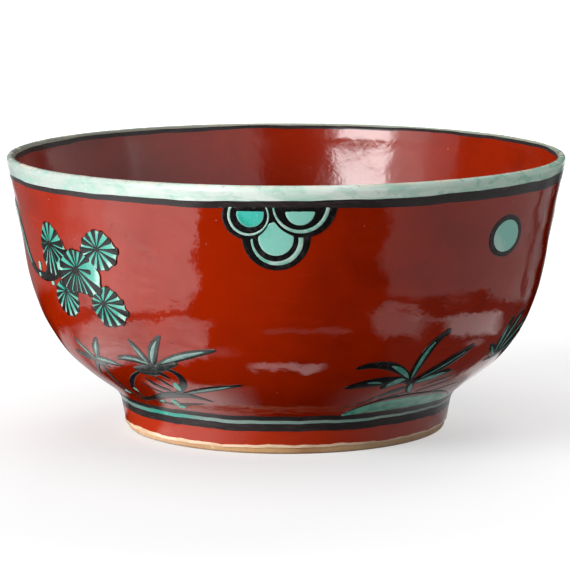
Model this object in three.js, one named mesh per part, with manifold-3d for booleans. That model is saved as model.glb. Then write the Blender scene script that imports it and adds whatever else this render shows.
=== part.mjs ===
// A footed porcelain bowl with a coral-red glaze, a pale green lip and painted enamels.
//
// The bowl is one thrown and turned clay body. Everything on it is a thin layer with its own edge:
// the glaze coats lie side by side on the clay, and the raised enamels lie on the outer red coat.
// Millimetres, +Z up. The origin is the centre of the foot ring, on the surface it stands on.
// Azimuth 0 faces -Y, and azimuths grow towards +X.

import * as THREE from 'three';
import Module from 'manifold-3d';
import { mergeVertices } from 'three/addons/utils/BufferGeometryUtils.js';

const wasm = await Module();
wasm.setup();

const degree = Math.PI / 180;

// Driving dimensions of the bowl, over the glaze

const rimDiameter = 145;
const bowlHeight = 71.5;
const lipThickness = 2.4;
const lipLean = 14;
const lipSpread = 0.33;
const lipSpreadHeight = 11.5;
const wallLean = 10.2;
const shoulderHeight = 45;
const bellyReach = 26;
const waistRadius = 44.9;
const waistHeight = 10.5;
const waistLean = 46;
const waistReach = 7.2;
const footFilletRadius = 6.4;
const footLean = 10;

// The inside of the bowl and the underside

const wallThicknessAtShoulder = 3;
const innerBellyReach = 25;
const floorHeight = 11.2;
const floorReach = 46;
const footRingWidth = 4.4;
const recessDepth = 6.5;
const recessCornerRadius = 2.2;
const footOuterRounding = 0.9;
const footInnerRounding = 0.6;

// Glaze coats: thickness, and the heights and widths of their bands

const glazeThickness = 0.35;
const bond = 0.02;
const bareFootHeight = 1.9;
const glazeEdgeWidth = 0.55;
const footRedWidth = 3.65;
const lowerLineWidth = 1.9;
const greenLineWidth = 1.1;
const upperLineWidth = 1.2;
const rimBandWidth = 3.4;
const rimLineWidth = 2.2;
const innerBandWidth = 1;
const innerLineWidth = 1.4;
const recessGlazeEdge = 1.6;

// Raised enamels

const enamelThickness = 0.25;
const enamelGap = 0.15;
const enamelMargin = 0.2;
const needleCount = 11;
const needleNotch = 0.7;
const knotRadius = 0.9;

const circleSegments = 36;
const facetAngle = 360 / circleSegments;
const discPieces = 8;
const leafPieces = 5;
const strokePieces = 3;

const colors = {
  clay: 0xc79c6a,
  red: 0x94200a,
  innerRed: 0x82200c,
  green: 0xc4e4da,
  turquoise: 0x62cbb4,
  paleRing: 0x9fc9bb,
  black: 0x3b3532,
  moon: 0x73a596,
  bank: 0x5a9c86,
  leaf: 0x5d8f86,
  bark: 0x3f5148,
  white: 0xe9ebe4,
};

function leaning(length, angle) {
  return new THREE.Vector2(length * Math.sin(angle * degree), length * Math.cos(angle * degree));
}

// The outline over the glaze, from the bare foot up the outside, over the lip and down to the floor.
// The material is on the left of the way along it, and the normals point out to the right.

const lipRadius = lipThickness / 2;
const lipCentre = new THREE.Vector2(rimDiameter / 2 - lipRadius, bowlHeight - lipRadius);

function straightWallRadius(height) {
  return rimDiameter / 2 - lipSpread - (lipCentre.y - height) * Math.tan(wallLean * degree);
}

const waist = new THREE.Vector2(waistRadius, waistHeight);
const filletCentre = new THREE.Vector2(
  waist.x + footFilletRadius * Math.cos(waistLean * degree),
  waist.y - footFilletRadius * Math.sin(waistLean * degree),
);
const footTop = new THREE.Vector2(
  filletCentre.x - footFilletRadius * Math.cos(footLean * degree),
  filletCentre.y + footFilletRadius * Math.sin(footLean * degree),
);

function footFaceRadius(height) {
  return footTop.x - (footTop.y - height) * Math.tan(footLean * degree);
}

const shoulder = new THREE.Vector2(straightWallRadius(shoulderHeight), shoulderHeight);
const spreadHeight = lipCentre.y - lipSpreadHeight;
const spreadStart = new THREE.Vector2(straightWallRadius(spreadHeight), spreadHeight);
const lipStart = new THREE.Vector2(
  lipCentre.x + lipRadius * Math.cos(lipLean * degree),
  lipCentre.y - lipRadius * Math.sin(lipLean * degree),
);
const spreadControlHeight =
  (straightWallRadius(0) - lipStart.x + lipStart.y * Math.tan(lipLean * degree)) /
  (Math.tan(lipLean * degree) - Math.tan(wallLean * degree));
const spreadControl = new THREE.Vector2(straightWallRadius(spreadControlHeight), spreadControlHeight);

const innerShoulder = new THREE.Vector2(
  shoulder.x - wallThicknessAtShoulder / Math.cos(wallLean * degree),
  shoulderHeight,
);
const toLip = lipCentre.clone().sub(innerShoulder);
const innerLean = Math.atan2(toLip.x, toLip.y) - Math.asin(lipRadius / toLip.length());
const innerLipEnd = new THREE.Vector2(
  lipCentre.x - lipRadius * Math.cos(innerLean),
  lipCentre.y + lipRadius * Math.sin(innerLean),
);
const innerBellyHandle = leaning(innerBellyReach, innerLean / degree);

const footFace = new THREE.LineCurve(
  new THREE.Vector2(footFaceRadius(bareFootHeight), bareFootHeight),
  footTop,
);
const footFillet = new THREE.EllipseCurve(
  filletCentre.x, filletCentre.y, footFilletRadius, footFilletRadius,
  Math.PI - footLean * degree, Math.PI - waistLean * degree, true,
);
const belly = new THREE.CubicBezierCurve(
  waist,
  waist.clone().add(leaning(waistReach, waistLean)),
  shoulder.clone().sub(leaning(bellyReach, wallLean)),
  shoulder,
);
const straightWall = new THREE.LineCurve(shoulder, spreadStart);
const spread = new THREE.QuadraticBezierCurve(spreadStart, spreadControl, lipStart);
const lipOutside = new THREE.EllipseCurve(
  lipCentre.x, lipCentre.y, lipRadius, lipRadius,
  -lipLean * degree, Math.PI / 2, false,
);
const lipInside = new THREE.EllipseCurve(
  lipCentre.x, lipCentre.y, lipRadius, lipRadius,
  Math.PI / 2, Math.PI - innerLean, false,
);
const innerWall = new THREE.LineCurve(innerLipEnd, innerShoulder);
const innerBelly = new THREE.CubicBezierCurve(
  innerShoulder,
  innerShoulder.clone().sub(innerBellyHandle),
  new THREE.Vector2(floorReach, floorHeight),
  new THREE.Vector2(0, floorHeight),
);

// The edges between coats, each at a height on the outside or the inside

const footRedLow = bareFootHeight + glazeEdgeWidth;
const lowerLineLow = footRedLow + footRedWidth;
const greenLineLow = lowerLineLow + lowerLineWidth;
const upperLineLow = greenLineLow + greenLineWidth;
const wallRedLow = upperLineLow + upperLineWidth;
const rimBandLow = bowlHeight - rimBandWidth;
const rimLineLow = rimBandLow - rimLineWidth;
const innerBandLow = bowlHeight - innerBandWidth;
const innerLineLow = innerBandLow - innerLineWidth;

const edges = [
  { name: 'glaze end', height: bareFootHeight, inside: false },
  { name: 'foot red low', height: footRedLow, inside: false },
  { name: 'lower line low', height: lowerLineLow, inside: false },
  { name: 'green line low', height: greenLineLow, inside: false },
  { name: 'upper line low', height: upperLineLow, inside: false },
  { name: 'wall red low', height: wallRedLow, inside: false },
  { name: 'rim line low', height: rimLineLow, inside: false },
  { name: 'rim band low', height: rimBandLow, inside: false },
  { name: 'inner band low', height: innerBandLow, inside: true },
  { name: 'inner line low', height: innerLineLow, inside: true },
];

const sections = [
  { curve: footFace, pieces: 1, inside: false },
  { curve: footFillet, pieces: 2, inside: false },
  { curve: belly, pieces: 6, inside: false },
  { curve: straightWall, pieces: 1, inside: false },
  { curve: spread, pieces: 1, inside: false },
  { curve: lipOutside, pieces: 3, inside: false },
  { curve: lipInside, pieces: 2, inside: true },
  { curve: innerWall, pieces: 1, inside: true },
  { curve: innerBelly, pieces: 8, inside: true },
];

// A curve's share at a height, where the height rises or falls all along it

function shareAtHeight(curve, height) {
  const rising = curve.getPoint(1).y > curve.getPoint(0).y;
  let low = 0;
  let high = 1;
  for (let step = 0; step < 40; step += 1) {
    const middle = (low + high) / 2;
    if (curve.getPoint(middle).y < height === rising) low = middle;
    else high = middle;
  }
  return (low + high) / 2;
}

function liesOn(curve, height) {
  const ends = [curve.getPoint(0).y, curve.getPoint(1).y];
  return height >= Math.min(...ends) && height < Math.max(...ends);
}

function station(curve, share, edge) {
  const point = curve.getPoint(share);
  const way = curve.getTangent(share);
  return { point, normal: new THREE.Vector2(way.y, -way.x), edge };
}

// Every coat and the clay under it share these stations, so their facets lie one on another.
// A plain station too near to a coat's edge gives way to it.

const nearestStation = 0.3;
const allStations = [];
for (const { curve, pieces, inside } of sections) {
  const spots = [];
  for (let piece = 0; piece < pieces; piece += 1) spots.push({ share: piece / pieces });
  for (const edge of edges) {
    if (edge.inside !== inside || !liesOn(curve, edge.height)) continue;
    spots.push({ share: shareAtHeight(curve, edge.height), edge: edge.name });
  }
  spots.sort((one, other) => one.share - other.share);
  for (const spot of spots) allStations.push(station(curve, spot.share, spot.edge));
}
const marked = allStations.filter((one) => one.edge);
const stations = allStations.filter((one) => one.edge
  || marked.every((other) => other.point.distanceTo(one.point) > nearestStation));
stations.push({
  point: new THREE.Vector2(0, floorHeight),
  normal: new THREE.Vector2(0, 1),
});

function edgeIndex(name) {
  return stations.findIndex((one) => one.edge === name);
}

function offset(list, depth) {
  return list.map(({ point, normal }) => {
    const moved = point.clone().addScaledVector(normal, -depth);
    if (point.x === 0) moved.x = 0;
    return moved;
  });
}

function lathe(profile) {
  return new THREE.LatheGeometry(profile, circleSegments).rotateX(Math.PI / 2);
}

const group = new THREE.Group();
group.name = 'glazed_bowl';

function addPiece(name, geometry, color, roughness) {
  const material = new THREE.MeshStandardMaterial({ color, roughness, metalness: 0 });
  const mesh = new THREE.Mesh(geometry, material);
  mesh.name = name;
  group.add(mesh);
  return mesh;
}

// The recess under the floor: its outline over the white glaze, from the axis to the foot ring

const recessWallRadius = footFaceRadius(0) - footRingWidth;
const recessCorner = new THREE.Vector2(recessWallRadius, recessDepth);
const recessPath = new THREE.Path();
recessPath.moveTo(recessCorner.x - recessCornerRadius, recessCorner.y);
recessPath.quadraticCurveTo(
  recessCorner.x, recessCorner.y,
  recessCorner.x, recessCorner.y - recessCornerRadius,
);
const recessCurve = recessPath.curves[0];
const recessStations = [{ point: new THREE.Vector2(0, recessDepth), normal: new THREE.Vector2(0, -1) }];
const recessSteps = 3;
for (let step = 0; step <= recessSteps; step += 1) {
  recessStations.push(station(recessCurve, step / recessSteps));
}
recessStations.push({
  point: new THREE.Vector2(recessWallRadius, recessGlazeEdge),
  normal: new THREE.Vector2(-1, 0),
});

// The clay body: recess, bare foot ring, outside, lip and inside, under the glaze

const clayDepth = glazeThickness + bond;
const recessClay = offset(recessStations, clayDepth);
const wallClay = offset(stations, clayDepth);
const footInner = recessClay[recessClay.length - 1];
const footOuter = wallClay[0];
const footOuterCorner = footOuter.x - footOuter.y * Math.tan(footLean * degree);
const footPath = new THREE.Path();
footPath.moveTo(footInner.x, footInner.y);
footPath.lineTo(footInner.x, footInnerRounding);
footPath.quadraticCurveTo(footInner.x, 0, footInner.x + footInnerRounding, 0);
footPath.lineTo(footOuterCorner - footOuterRounding, 0);
footPath.quadraticCurveTo(
  footOuterCorner, 0,
  footOuterCorner + footOuterRounding * Math.tan(footLean * degree), footOuterRounding,
);
footPath.lineTo(footOuter.x, footOuter.y);
const footSteps = 3;
const footClay = footPath.getPoints(footSteps).slice(1, -1);
addPiece('porcelain_body', lathe([...recessClay, ...footClay, ...wallClay]), colors.clay, 0.85);

// Glaze coats, each between two edges

function addCoat(name, from, to, color) {
  const covered = stations.slice(edgeIndex(from), to ? edgeIndex(to) + 1 : undefined);
  const over = offset(covered, 0);
  const under = offset(covered, glazeThickness).reverse();
  const profile = to ? [...over, ...under, over[0]] : [...under, ...over];
  addPiece(name, lathe(profile), color, 0.15);
}

addCoat('foot_glaze_edge', 'glaze end', 'foot red low', colors.white);
addCoat('foot_red_glaze', 'foot red low', 'lower line low', colors.red);
addCoat('foot_line_lower', 'lower line low', 'green line low', colors.black);
addCoat('foot_green_line', 'green line low', 'upper line low', colors.green);
addCoat('foot_line_upper', 'upper line low', 'wall red low', colors.black);
addCoat('outer_red_glaze', 'wall red low', 'rim line low', colors.red);
addCoat('rim_line_outside', 'rim line low', 'rim band low', colors.black);
addCoat('rim_band', 'rim band low', 'inner band low', colors.green);
addCoat('rim_line_inside', 'inner band low', 'inner line low', colors.black);
addCoat('inner_red_glaze', 'inner line low', undefined, colors.innerRed);

const recessOver = offset(recessStations, 0);
const recessUnder = offset(recessStations, glazeThickness).reverse();
addPiece('foot_recess_glaze', lathe([...recessOver, ...recessUnder]), colors.white, 0.2);

// Painted enamels. Each is cut from a thin shell round the red wall by prisms that point out from
// the axis, and then turned to the azimuth that its prisms face, a whole number of facets round.
// A place on the wall is an azimuth in degrees and a height in percent of the red wall.

function solidFrom(geometry) {
  const bare = geometry.clone();
  bare.deleteAttribute('normal');
  bare.deleteAttribute('uv');
  const merged = mergeVertices(bare, 1e-4);
  return new wasm.Manifold(new wasm.Mesh({
    numProp: 3,
    vertProperties: Float32Array.from(merged.attributes.position.array),
    triVerts: Uint32Array.from(merged.index.array),
  }));
}

function geometryFrom(solid) {
  const mesh = solid.getMesh();
  const geometry = new THREE.BufferGeometry();
  geometry.setAttribute('position', new THREE.BufferAttribute(mesh.vertProperties, 3));
  geometry.setIndex(new THREE.BufferAttribute(mesh.triVerts, 1));
  geometry.computeVertexNormals();
  return geometry;
}

const redLow = wallRedLow + enamelMargin;
const redHigh = rimLineLow - enamelMargin;

function slab(low, high) {
  const geometry = new THREE.CylinderGeometry(rimDiameter, rimDiameter, high - low, circleSegments);
  return solidFrom(geometry.rotateX(Math.PI / 2).translate(0, 0, (low + high) / 2));
}

const wallStations = stations.slice(edgeIndex('wall red low'), edgeIndex('rim line low') + 1);
const shellOver = offset(wallStations, -bond - enamelThickness);
const shellUnder = offset(wallStations, -bond).reverse();
const wholeShell = solidFrom(lathe([...shellOver, ...shellUnder, shellOver[0]]));
const enamelShell = wholeShell.intersect(slab(redLow, redHigh));

function heightAt(percent) {
  return redLow + (redHigh - redLow) * percent / 100;
}

function radiusAt(height) {
  const found = wallStations.findIndex((one) => one.point.y > height);
  const upper = found < 1 ? wallStations.length - 1 : found;
  const low = wallStations[upper - 1].point;
  const high = wallStations[upper].point;
  return low.x + (high.x - low.x) * (height - low.y) / (high.y - low.y);
}

// The azimuth of the facet edge nearest to an azimuth

function facetAt(azimuth) {
  return Math.round(azimuth / facetAngle) * facetAngle;
}

// A place on the wall, flattened on the plane that faces the azimuth called facing

function flatten([azimuth, percent], facing) {
  const height = heightAt(percent);
  return new THREE.Vector2(radiusAt(height) * Math.sin((azimuth - facing) * degree), height);
}

function prism(shape, curveSegments = 1) {
  const geometry = new THREE.ExtrudeGeometry(shape, {
    depth: rimDiameter / 2,
    bevelEnabled: false,
    curveSegments,
  });
  return solidFrom(geometry.rotateX(Math.PI / 2));
}

function disc(centre, radius, widthRatio = 1) {
  const shape = new THREE.Shape();
  shape.absellipse(centre.x, centre.y, radius * widthRatio, radius, 0, 2 * Math.PI, false, 0);
  return prism(shape, discPieces);
}

function joined(solids) {
  return solids.reduce((one, other) => one.add(other));
}

function addEnamel(name, solid, facing, color) {
  const mesh = addPiece(name, geometryFrom(enamelShell.intersect(solid)), color, 0.12);
  mesh.rotation.z = facing * degree;
}

// A leaf is two curves from its foot to its tip. A bend above zero bows it to the left of that way.

function leaf(from, to, width, bend, facing) {
  const start = flatten(from, facing);
  const end = flatten(to, facing);
  const along = end.clone().sub(start);
  const side = new THREE.Vector2(-along.y, along.x).normalize();
  const middle = start.clone().add(end).multiplyScalar(0.5);
  const left = middle.clone().addScaledVector(side, 2 * bend + width);
  const right = middle.clone().addScaledVector(side, 2 * bend - width);
  const shape = new THREE.Shape();
  shape.moveTo(start.x, start.y);
  shape.quadraticCurveTo(right.x, right.y, end.x, end.y);
  shape.quadraticCurveTo(left.x, left.y, start.x, start.y);
  return prism(shape, leafPieces);
}

// A brush stroke follows a smooth line, fine at its ends and full between them.

function stroke(places, width, endWidth, facing) {
  const line = new THREE.SplineCurve(places.map((place) => flatten(place, facing)));
  const left = [];
  const right = [];
  const steps = strokePieces * (places.length - 1);
  for (let step = 0; step <= steps; step += 1) {
    const share = step / steps;
    const point = line.getPoint(share);
    const way = line.getTangent(share);
    const side = new THREE.Vector2(-way.y, way.x);
    const half = (endWidth + (width - endWidth) * Math.sin(Math.PI * share)) / 2;
    left.push(point.clone().addScaledVector(side, half));
    right.push(point.clone().addScaledVector(side, -half));
  }
  return prism(new THREE.Shape([...right, ...left.reverse()]));
}

// A hill is a smooth line of places, closed by a straight edge along its foot.

function hill(places, facing) {
  const line = new THREE.SplineCurve(places.map((place) => flatten(place, facing)));
  return prism(new THREE.Shape(line.getPoints(strokePieces * (places.length - 1))));
}

// A pine sprig is a disc with a scalloped edge, one scallop for each needle.

function sprig(place, radius, facing, grown = 0) {
  const centre = flatten(place, facing);
  const points = [];
  const steps = needleCount * 4;
  for (let step = 0; step < steps; step += 1) {
    const angle = 2 * Math.PI * step / steps;
    const reach = radius + grown - needleNotch * (1 + Math.cos(needleCount * angle)) / 2;
    points.push(new THREE.Vector2(
      centre.x + reach * Math.cos(angle),
      centre.y + reach * Math.sin(angle),
    ));
  }
  return prism(new THREE.Shape(points));
}

// A hanging cloud of three scallops: a black outline, a pale ring and a filled middle in each.
// Sizes across the wall are from the cloud's middle line, and drops are from the top of the red.

const scallops = {
  left: {
    across: -9.6, drop: 1.9, radius: 5.9,
    ringAcross: -9.1, ringDrop: 1.75, ringRadius: 5.1, ringWidth: 0.6,
    fillAcross: -8.6, fillDrop: 1.3, fillRadius: 3.25,
  },
  right: {
    across: 4.15, drop: -0.9, radius: 8.3,
    ringAcross: 3.7, ringDrop: -0.9, ringRadius: 7, ringWidth: 0.9,
    fillAcross: 3.4, fillDrop: 0.5, fillRadius: 3.5,
  },
  low: {
    across: -2.3, drop: 7.1, radius: 8.4,
    ringAcross: -2.1, ringDrop: 7.9, ringRadius: 6.4, ringWidth: 0.8,
    fillAcross: -2.06, fillDrop: 7.4, fillRadius: 4.4,
  },
};
const cloudPeakAcross = -3.8;
const cloudPeakDrop = 3.9;
const lowRingDrop = 4.5;
const cloudTopStrip = 0.35;

function addCloud(prefix, facing) {
  const at = (across, drop) => new THREE.Vector2(across, redHigh - drop);
  const { left, right, low } = scallops;
  const outer = (one, grown) => disc(at(one.across, one.drop), one.radius + grown);
  const fillDisc = (one, grown) => disc(at(one.fillAcross, one.fillDrop), one.fillRadius + grown);
  const ringDisc = (one, radius) => disc(at(one.ringAcross, one.ringDrop), radius);
  const ring = (one, grown) => ringDisc(one, one.ringRadius + grown)
    .subtract(ringDisc(one, one.ringRadius - one.ringWidth - grown));
  const peak = prism(new THREE.Shape([
    at(low.fillAcross - low.fillRadius, low.fillDrop),
    at(low.fillAcross + low.fillRadius, low.fillDrop),
    at(cloudPeakAcross, cloudPeakDrop),
  ]));
  const covers = outer(left, 0).add(outer(right, 0));
  const widerCovers = outer(left, enamelGap).add(outer(right, enamelGap));
  const belowPeak = slab(redLow, redHigh - lowRingDrop);
  const roomTop = redHigh - cloudTopStrip;
  const own = slab(redLow, roomTop - enamelGap);
  const filled = {
    left: { fill: fillDisc(left, 0), ring: ring(left, 0) },
    right: { fill: fillDisc(right, 0), ring: ring(right, 0) },
    low: {
      fill: fillDisc(low, 0).add(peak).subtract(widerCovers),
      ring: ring(low, 0).intersect(belowPeak).subtract(widerCovers),
    },
  };
  const rooms = joined([
    fillDisc(left, enamelGap),
    fillDisc(right, enamelGap),
    ring(left, enamelGap),
    ring(right, enamelGap),
    fillDisc(low, enamelGap).add(peak).subtract(covers),
    ring(low, enamelGap).intersect(belowPeak).subtract(covers),
  ]).intersect(slab(redLow, roomTop));
  const outline = covers.add(outer(low, 0)).subtract(rooms);
  addEnamel(`${prefix}_outline`, outline, facing, colors.black);
  for (const [key, { fill, ring: arc }] of Object.entries(filled)) {
    addEnamel(`${prefix}_fill_${key}`, fill.intersect(own), facing, colors.turquoise);
    addEnamel(`${prefix}_ring_${key}`, arc.intersect(own), facing, colors.paleRing);
  }
}

addCloud('front_cloud', 0);
addCloud('back_cloud', facetAt(180));

// The moon: a disc a little wider than high in a black ring

const moonPlace = [51.6, 81.5];
const moonRadius = 4.2;
const moonRingWidth = 1.1;
const moonWidthRatio = 1.24;
const moonFacing = facetAt(moonPlace[0]);

const moonCentre = flatten(moonPlace, moonFacing);
const moonRoom = disc(moonCentre, moonRadius + enamelGap, moonWidthRatio);
const moonEdge = disc(moonCentre, moonRadius + moonRingWidth, moonWidthRatio);
addEnamel('moon_disc', disc(moonCentre, moonRadius, moonWidthRatio), moonFacing, colors.moon);
addEnamel('moon_ring', moonEdge.subtract(moonRoom), moonFacing, colors.black);

// Pine boughs and their sprigs, listed from the lowest layer up. What lies lower gives way.

function addPine(prefix, bough, sprigs, facing) {
  let covered;
  for (const [index, { place, radius }] of [...sprigs.entries()].reverse()) {
    const whole = sprig(place, radius, facing);
    const shown = covered ? whole.subtract(covered) : whole;
    addEnamel(`${prefix}_sprig_${index + 1}`, shown, facing, colors.turquoise);
    const room = sprig(place, radius, facing, enamelGap);
    covered = covered ? covered.add(room) : room;
  }
  addEnamel(`${prefix}_bough`, bough.subtract(covered), facing, colors.bark);
}

const boughWidth = 2;
const trunkWidth = 4.2;
const twigEnd = 0.9;

const frontPineFacing = facetAt(-60);
const frontBough = stroke(
  [[-78.5, 86], [-77.3, 80], [-75.8, 71], [-73.3, 62.5], [-69.5, 58.5], [-64, 57.5], [-59, 61]],
  boughWidth, twigEnd, frontPineFacing,
);
addPine('front_pine', frontBough, [
  { place: [-58.3, 74.8], radius: 7.3 },
  { place: [-41.3, 77.5], radius: 6.1 },
  { place: [-55.6, 51], radius: 5.3 },
  { place: [-41.3, 51.4], radius: 6 },
  { place: [-48.6, 65.5], radius: 7 },
], frontPineFacing);

const backPineFacing = facetAt(-120);
const backTrunk = stroke(
  [[-154, 3], [-147, 22], [-134, 38], [-119, 50], [-104, 62], [-92, 78], [-82, 86]],
  trunkWidth, twigEnd, backPineFacing,
);
addPine('back_pine', backTrunk, [
  { place: [-105, 82], radius: 6 },
  { place: [-134, 62], radius: 6.8 },
  { place: [-122, 76], radius: 6.4 },
], backPineFacing);

// Clumps of leaves that spring from one knot. Places are counted from the clump's own azimuth,
// and a side of -1 mirrors it.

function addClump(name, clump, azimuth, side, color) {
  const facing = facetAt(azimuth);
  const turned = ([away, percent]) => [azimuth + side * away, percent];
  const leaves = clump.map(({ from, to, width, bend }) => (
    leaf(turned(from), turned(to), width, side * bend, facing)));
  const knot = disc(flatten(turned(clump[0].from), facing), knotRadius);
  addEnamel(name, joined([knot, ...leaves]), facing, color);
}

const bambooSpray = [
  { from: [0, 22], to: [-4.6, 32.2], width: 1.5, bend: 0 },
  { from: [0, 22], to: [5.3, 33.9], width: 1.5, bend: 0.2 },
  { from: [-1, 23], to: [8.5, 21.7], width: 1.8, bend: 0.2 },
  { from: [0, 22], to: [-7.8, 22.8], width: 1.5, bend: 0.2 },
  { from: [-0.5, 23], to: [-1.5, 4], width: 0.9, bend: 0.3 },
];
const bambooClump = [
  { from: [0.4, 24], to: [-3.1, 36.2], width: 1.6, bend: 0 },
  { from: [0.4, 23], to: [5.5, 39.1], width: 2, bend: 0.2 },
  { from: [1, 24], to: [-8.6, 26.8], width: 1.8, bend: -0.3 },
  { from: [-0.5, 24], to: [18.6, 35.1], width: 2.3, bend: -0.7 },
  { from: [-0.5, 24], to: [8.2, 20.4], width: 1.5, bend: 0.5 },
];
const grassClump = [
  { from: [0, 15], to: [4.8, 40.2], width: 1.9, bend: 0.9 },
  { from: [0.6, 15], to: [15.8, 31.3], width: 1.7, bend: -0.7 },
  { from: [0.8, 16], to: [-16.4, 25.7], width: 1.6, bend: -1.5 },
  { from: [0.4, 17], to: [-17.8, 16.8], width: 1.6, bend: -1 },
  { from: [0.4, 17], to: [-8.5, 14.2], width: 1.7, bend: -0.9 },
  { from: [-0.6, 15], to: [10.1, 20.6], width: 2, bend: 0.3 },
  { from: [0.4, 18], to: [1.2, 12], width: 1.1, bend: 0 },
];
const sideSpray = [
  { from: [0, 22], to: [1.6, 41], width: 1.8, bend: 0 },
  { from: [0, 22], to: [-4.2, 38], width: 1.8, bend: 0.3 },
  { from: [0.5, 23], to: [-9, 30], width: 1.8, bend: -0.3 },
  { from: [-0.5, 23], to: [10, 33], width: 1.8, bend: 0.4 },
  { from: [0, 25], to: [1.5, 8], width: 1, bend: 0.2 },
];

const frontGrass = 33.6;
const backGrass = 128;

addClump('bamboo_spray', bambooSpray, -53.8, 1, colors.leaf);
addClump('bamboo_clump', bambooClump, -34.4, 1, colors.leaf);
addClump('grass_clump', grassClump, frontGrass, 1, colors.leaf);
addClump('side_spray', sideSpray, 70, 1, colors.leaf);
addClump('back_grass_clump', grassClump, backGrass, -1, colors.leaf);
addClump('back_bamboo_clump', bambooClump, 196, -1, colors.leaf);

// The looped outline of the rocks under the bamboo, with a long leaf lying out of them

const rockLine = 1.1;
const rockEnd = 0.5;
const rockFacing = facetAt(-40);
const rocks = joined([
  stroke(
    [[-38.3, 19.5], [-44.3, 14.7], [-47.6, 7.5], [-42, 3.2], [-34, 5.4], [-29.5, 9]],
    rockLine, rockEnd, rockFacing,
  ),
  stroke([[-40.9, 12.9], [-34, 10], [-28, 8.4], [-23.5, 5.5]], rockLine, rockEnd, rockFacing),
  stroke([[-26.4, 16.6], [-27.6, 12.8], [-31.5, 7.2]], rockLine, rockEnd, rockFacing),
]);
const lowLeafFoot = [-28.4, 10.5];
const lowLeafTip = [-11.4, 17.8];
const lowLeafWidth = 1.5;
const lowLeafBend = -0.5;
const lowLeaf = leaf(lowLeafFoot, lowLeafTip, lowLeafWidth, lowLeafBend, rockFacing);
const lowLeafRoom = leaf(
  [lowLeafFoot[0] - 1, lowLeafFoot[1]], lowLeafTip, lowLeafWidth + 2 * enamelGap, lowLeafBend, rockFacing,
);
addEnamel('rock_outline', rocks.subtract(lowLeafRoom), rockFacing, colors.black);
addEnamel('low_leaf', lowLeaf, rockFacing, colors.leaf);

// Green banks along the foot lines, under the grass

const bankMiddle = 10;
const bankTop = [[-14.8, 0], [-6.4, 5.4], [4, 8.4], [10.4, 8.6], [24, 4.6], [34, 0]];

function addBank(name, azimuth, side) {
  const places = bankTop.map(([away, percent]) => [azimuth + side * away, percent]);
  if (side < 0) places.reverse();
  const facing = facetAt(azimuth + side * bankMiddle);
  addEnamel(name, hill(places.reverse(), facing), facing, colors.bank);
}

addBank('grass_bank', frontGrass, 1);
addBank('back_grass_bank', backGrass, -1);

export default group;
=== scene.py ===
import math
import random
from functools import cached_property

import bmesh
import bpy
import numpy as np
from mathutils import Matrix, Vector


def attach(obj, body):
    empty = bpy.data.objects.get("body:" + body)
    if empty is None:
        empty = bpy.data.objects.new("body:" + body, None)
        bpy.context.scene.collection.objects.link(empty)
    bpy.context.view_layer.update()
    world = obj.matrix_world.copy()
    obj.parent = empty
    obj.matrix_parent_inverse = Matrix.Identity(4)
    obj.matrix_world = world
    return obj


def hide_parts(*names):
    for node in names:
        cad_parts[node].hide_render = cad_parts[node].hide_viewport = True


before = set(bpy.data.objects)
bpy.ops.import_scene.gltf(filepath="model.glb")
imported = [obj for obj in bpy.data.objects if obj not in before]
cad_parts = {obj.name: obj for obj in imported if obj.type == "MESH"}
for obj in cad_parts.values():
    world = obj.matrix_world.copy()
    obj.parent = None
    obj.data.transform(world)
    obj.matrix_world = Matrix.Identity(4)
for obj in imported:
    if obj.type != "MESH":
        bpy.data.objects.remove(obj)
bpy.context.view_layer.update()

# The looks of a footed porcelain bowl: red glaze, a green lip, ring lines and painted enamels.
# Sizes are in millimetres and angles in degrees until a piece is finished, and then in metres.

MM = 0.001

# The bowl's outline over the glaze, the same as in the construction

RIM_RADIUS = 72.5
BOWL_HEIGHT = 71.5
LIP_RADIUS = 1.2
LIP_LEAN = 14
LIP_SPREAD = 0.33
LIP_SPREAD_HEIGHT = 11.5
WALL_LEAN = 10.2
SHOULDER_HEIGHT = 45
BELLY_REACH = 26
WAIST_RADIUS = 44.9
WAIST_HEIGHT = 10.5
WAIST_LEAN = 46
WAIST_REACH = 7.2
FOOT_FILLET = 6.4
FOOT_LEAN = 10
SHOULDER_WALL = 3
INNER_BELLY_REACH = 25
INNER_FLARE = 0.2
INNER_FLARE_HEIGHT = 9
FLOOR_HEIGHT = 11.2
FLOOR_REACH = 46
FOOT_RING_WIDTH = 4.4
RECESS_DEPTH = 6.5
RECESS_CORNER = 2.2
RECESS_GLAZE_EDGE = 1.6
FOOT_OUTER_ROUNDING = 0.9
FOOT_INNER_ROUNDING = 0.6
GLAZE = 0.35
CLAY_GAP = 0.02

# The edges between coats: heights on the outside, and then on the inside

GLAZE_END = 1.9
FOOT_RED_LOW = 2.45
LOWER_LINE_LOW = 6.1
GREEN_LINE_LOW = 8
UPPER_LINE_LOW = 9.1
WALL_RED_LOW = 10.3
RIM_LINE_LOW = 65.9
RIM_BAND_LOW = 68.1
INNER_BAND_LOW = 70.5
INNER_LINE_LOW = 69.1

TURNS = 240
STATION_GAP = 0.8
CURVE_STEPS = 60
END_GAP = 0.15


def unit(angle):
    """The way at an angle above level."""
    return Vector((math.cos(math.radians(angle)), math.sin(math.radians(angle))))


def slope(angle):
    return math.tan(math.radians(angle))


def arc(centre, radius, first, last):
    return lambda share: centre + radius * unit(first + (last - first) * share)


def bow(*corners):
    """A Bezier curve through its first and last corner, or a line if there are only two."""

    def at(share):
        points = corners
        while len(points) > 1:
            points = [one.lerp(other, share) for one, other in zip(points, points[1:])]
        return points[0]

    return at


lip_centre = Vector((RIM_RADIUS - LIP_RADIUS, BOWL_HEIGHT - LIP_RADIUS))
waist = Vector((WAIST_RADIUS, WAIST_HEIGHT))
fillet_centre = waist + FOOT_FILLET * unit(-WAIST_LEAN)
foot_top = fillet_centre + FOOT_FILLET * unit(180 - FOOT_LEAN)


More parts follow.
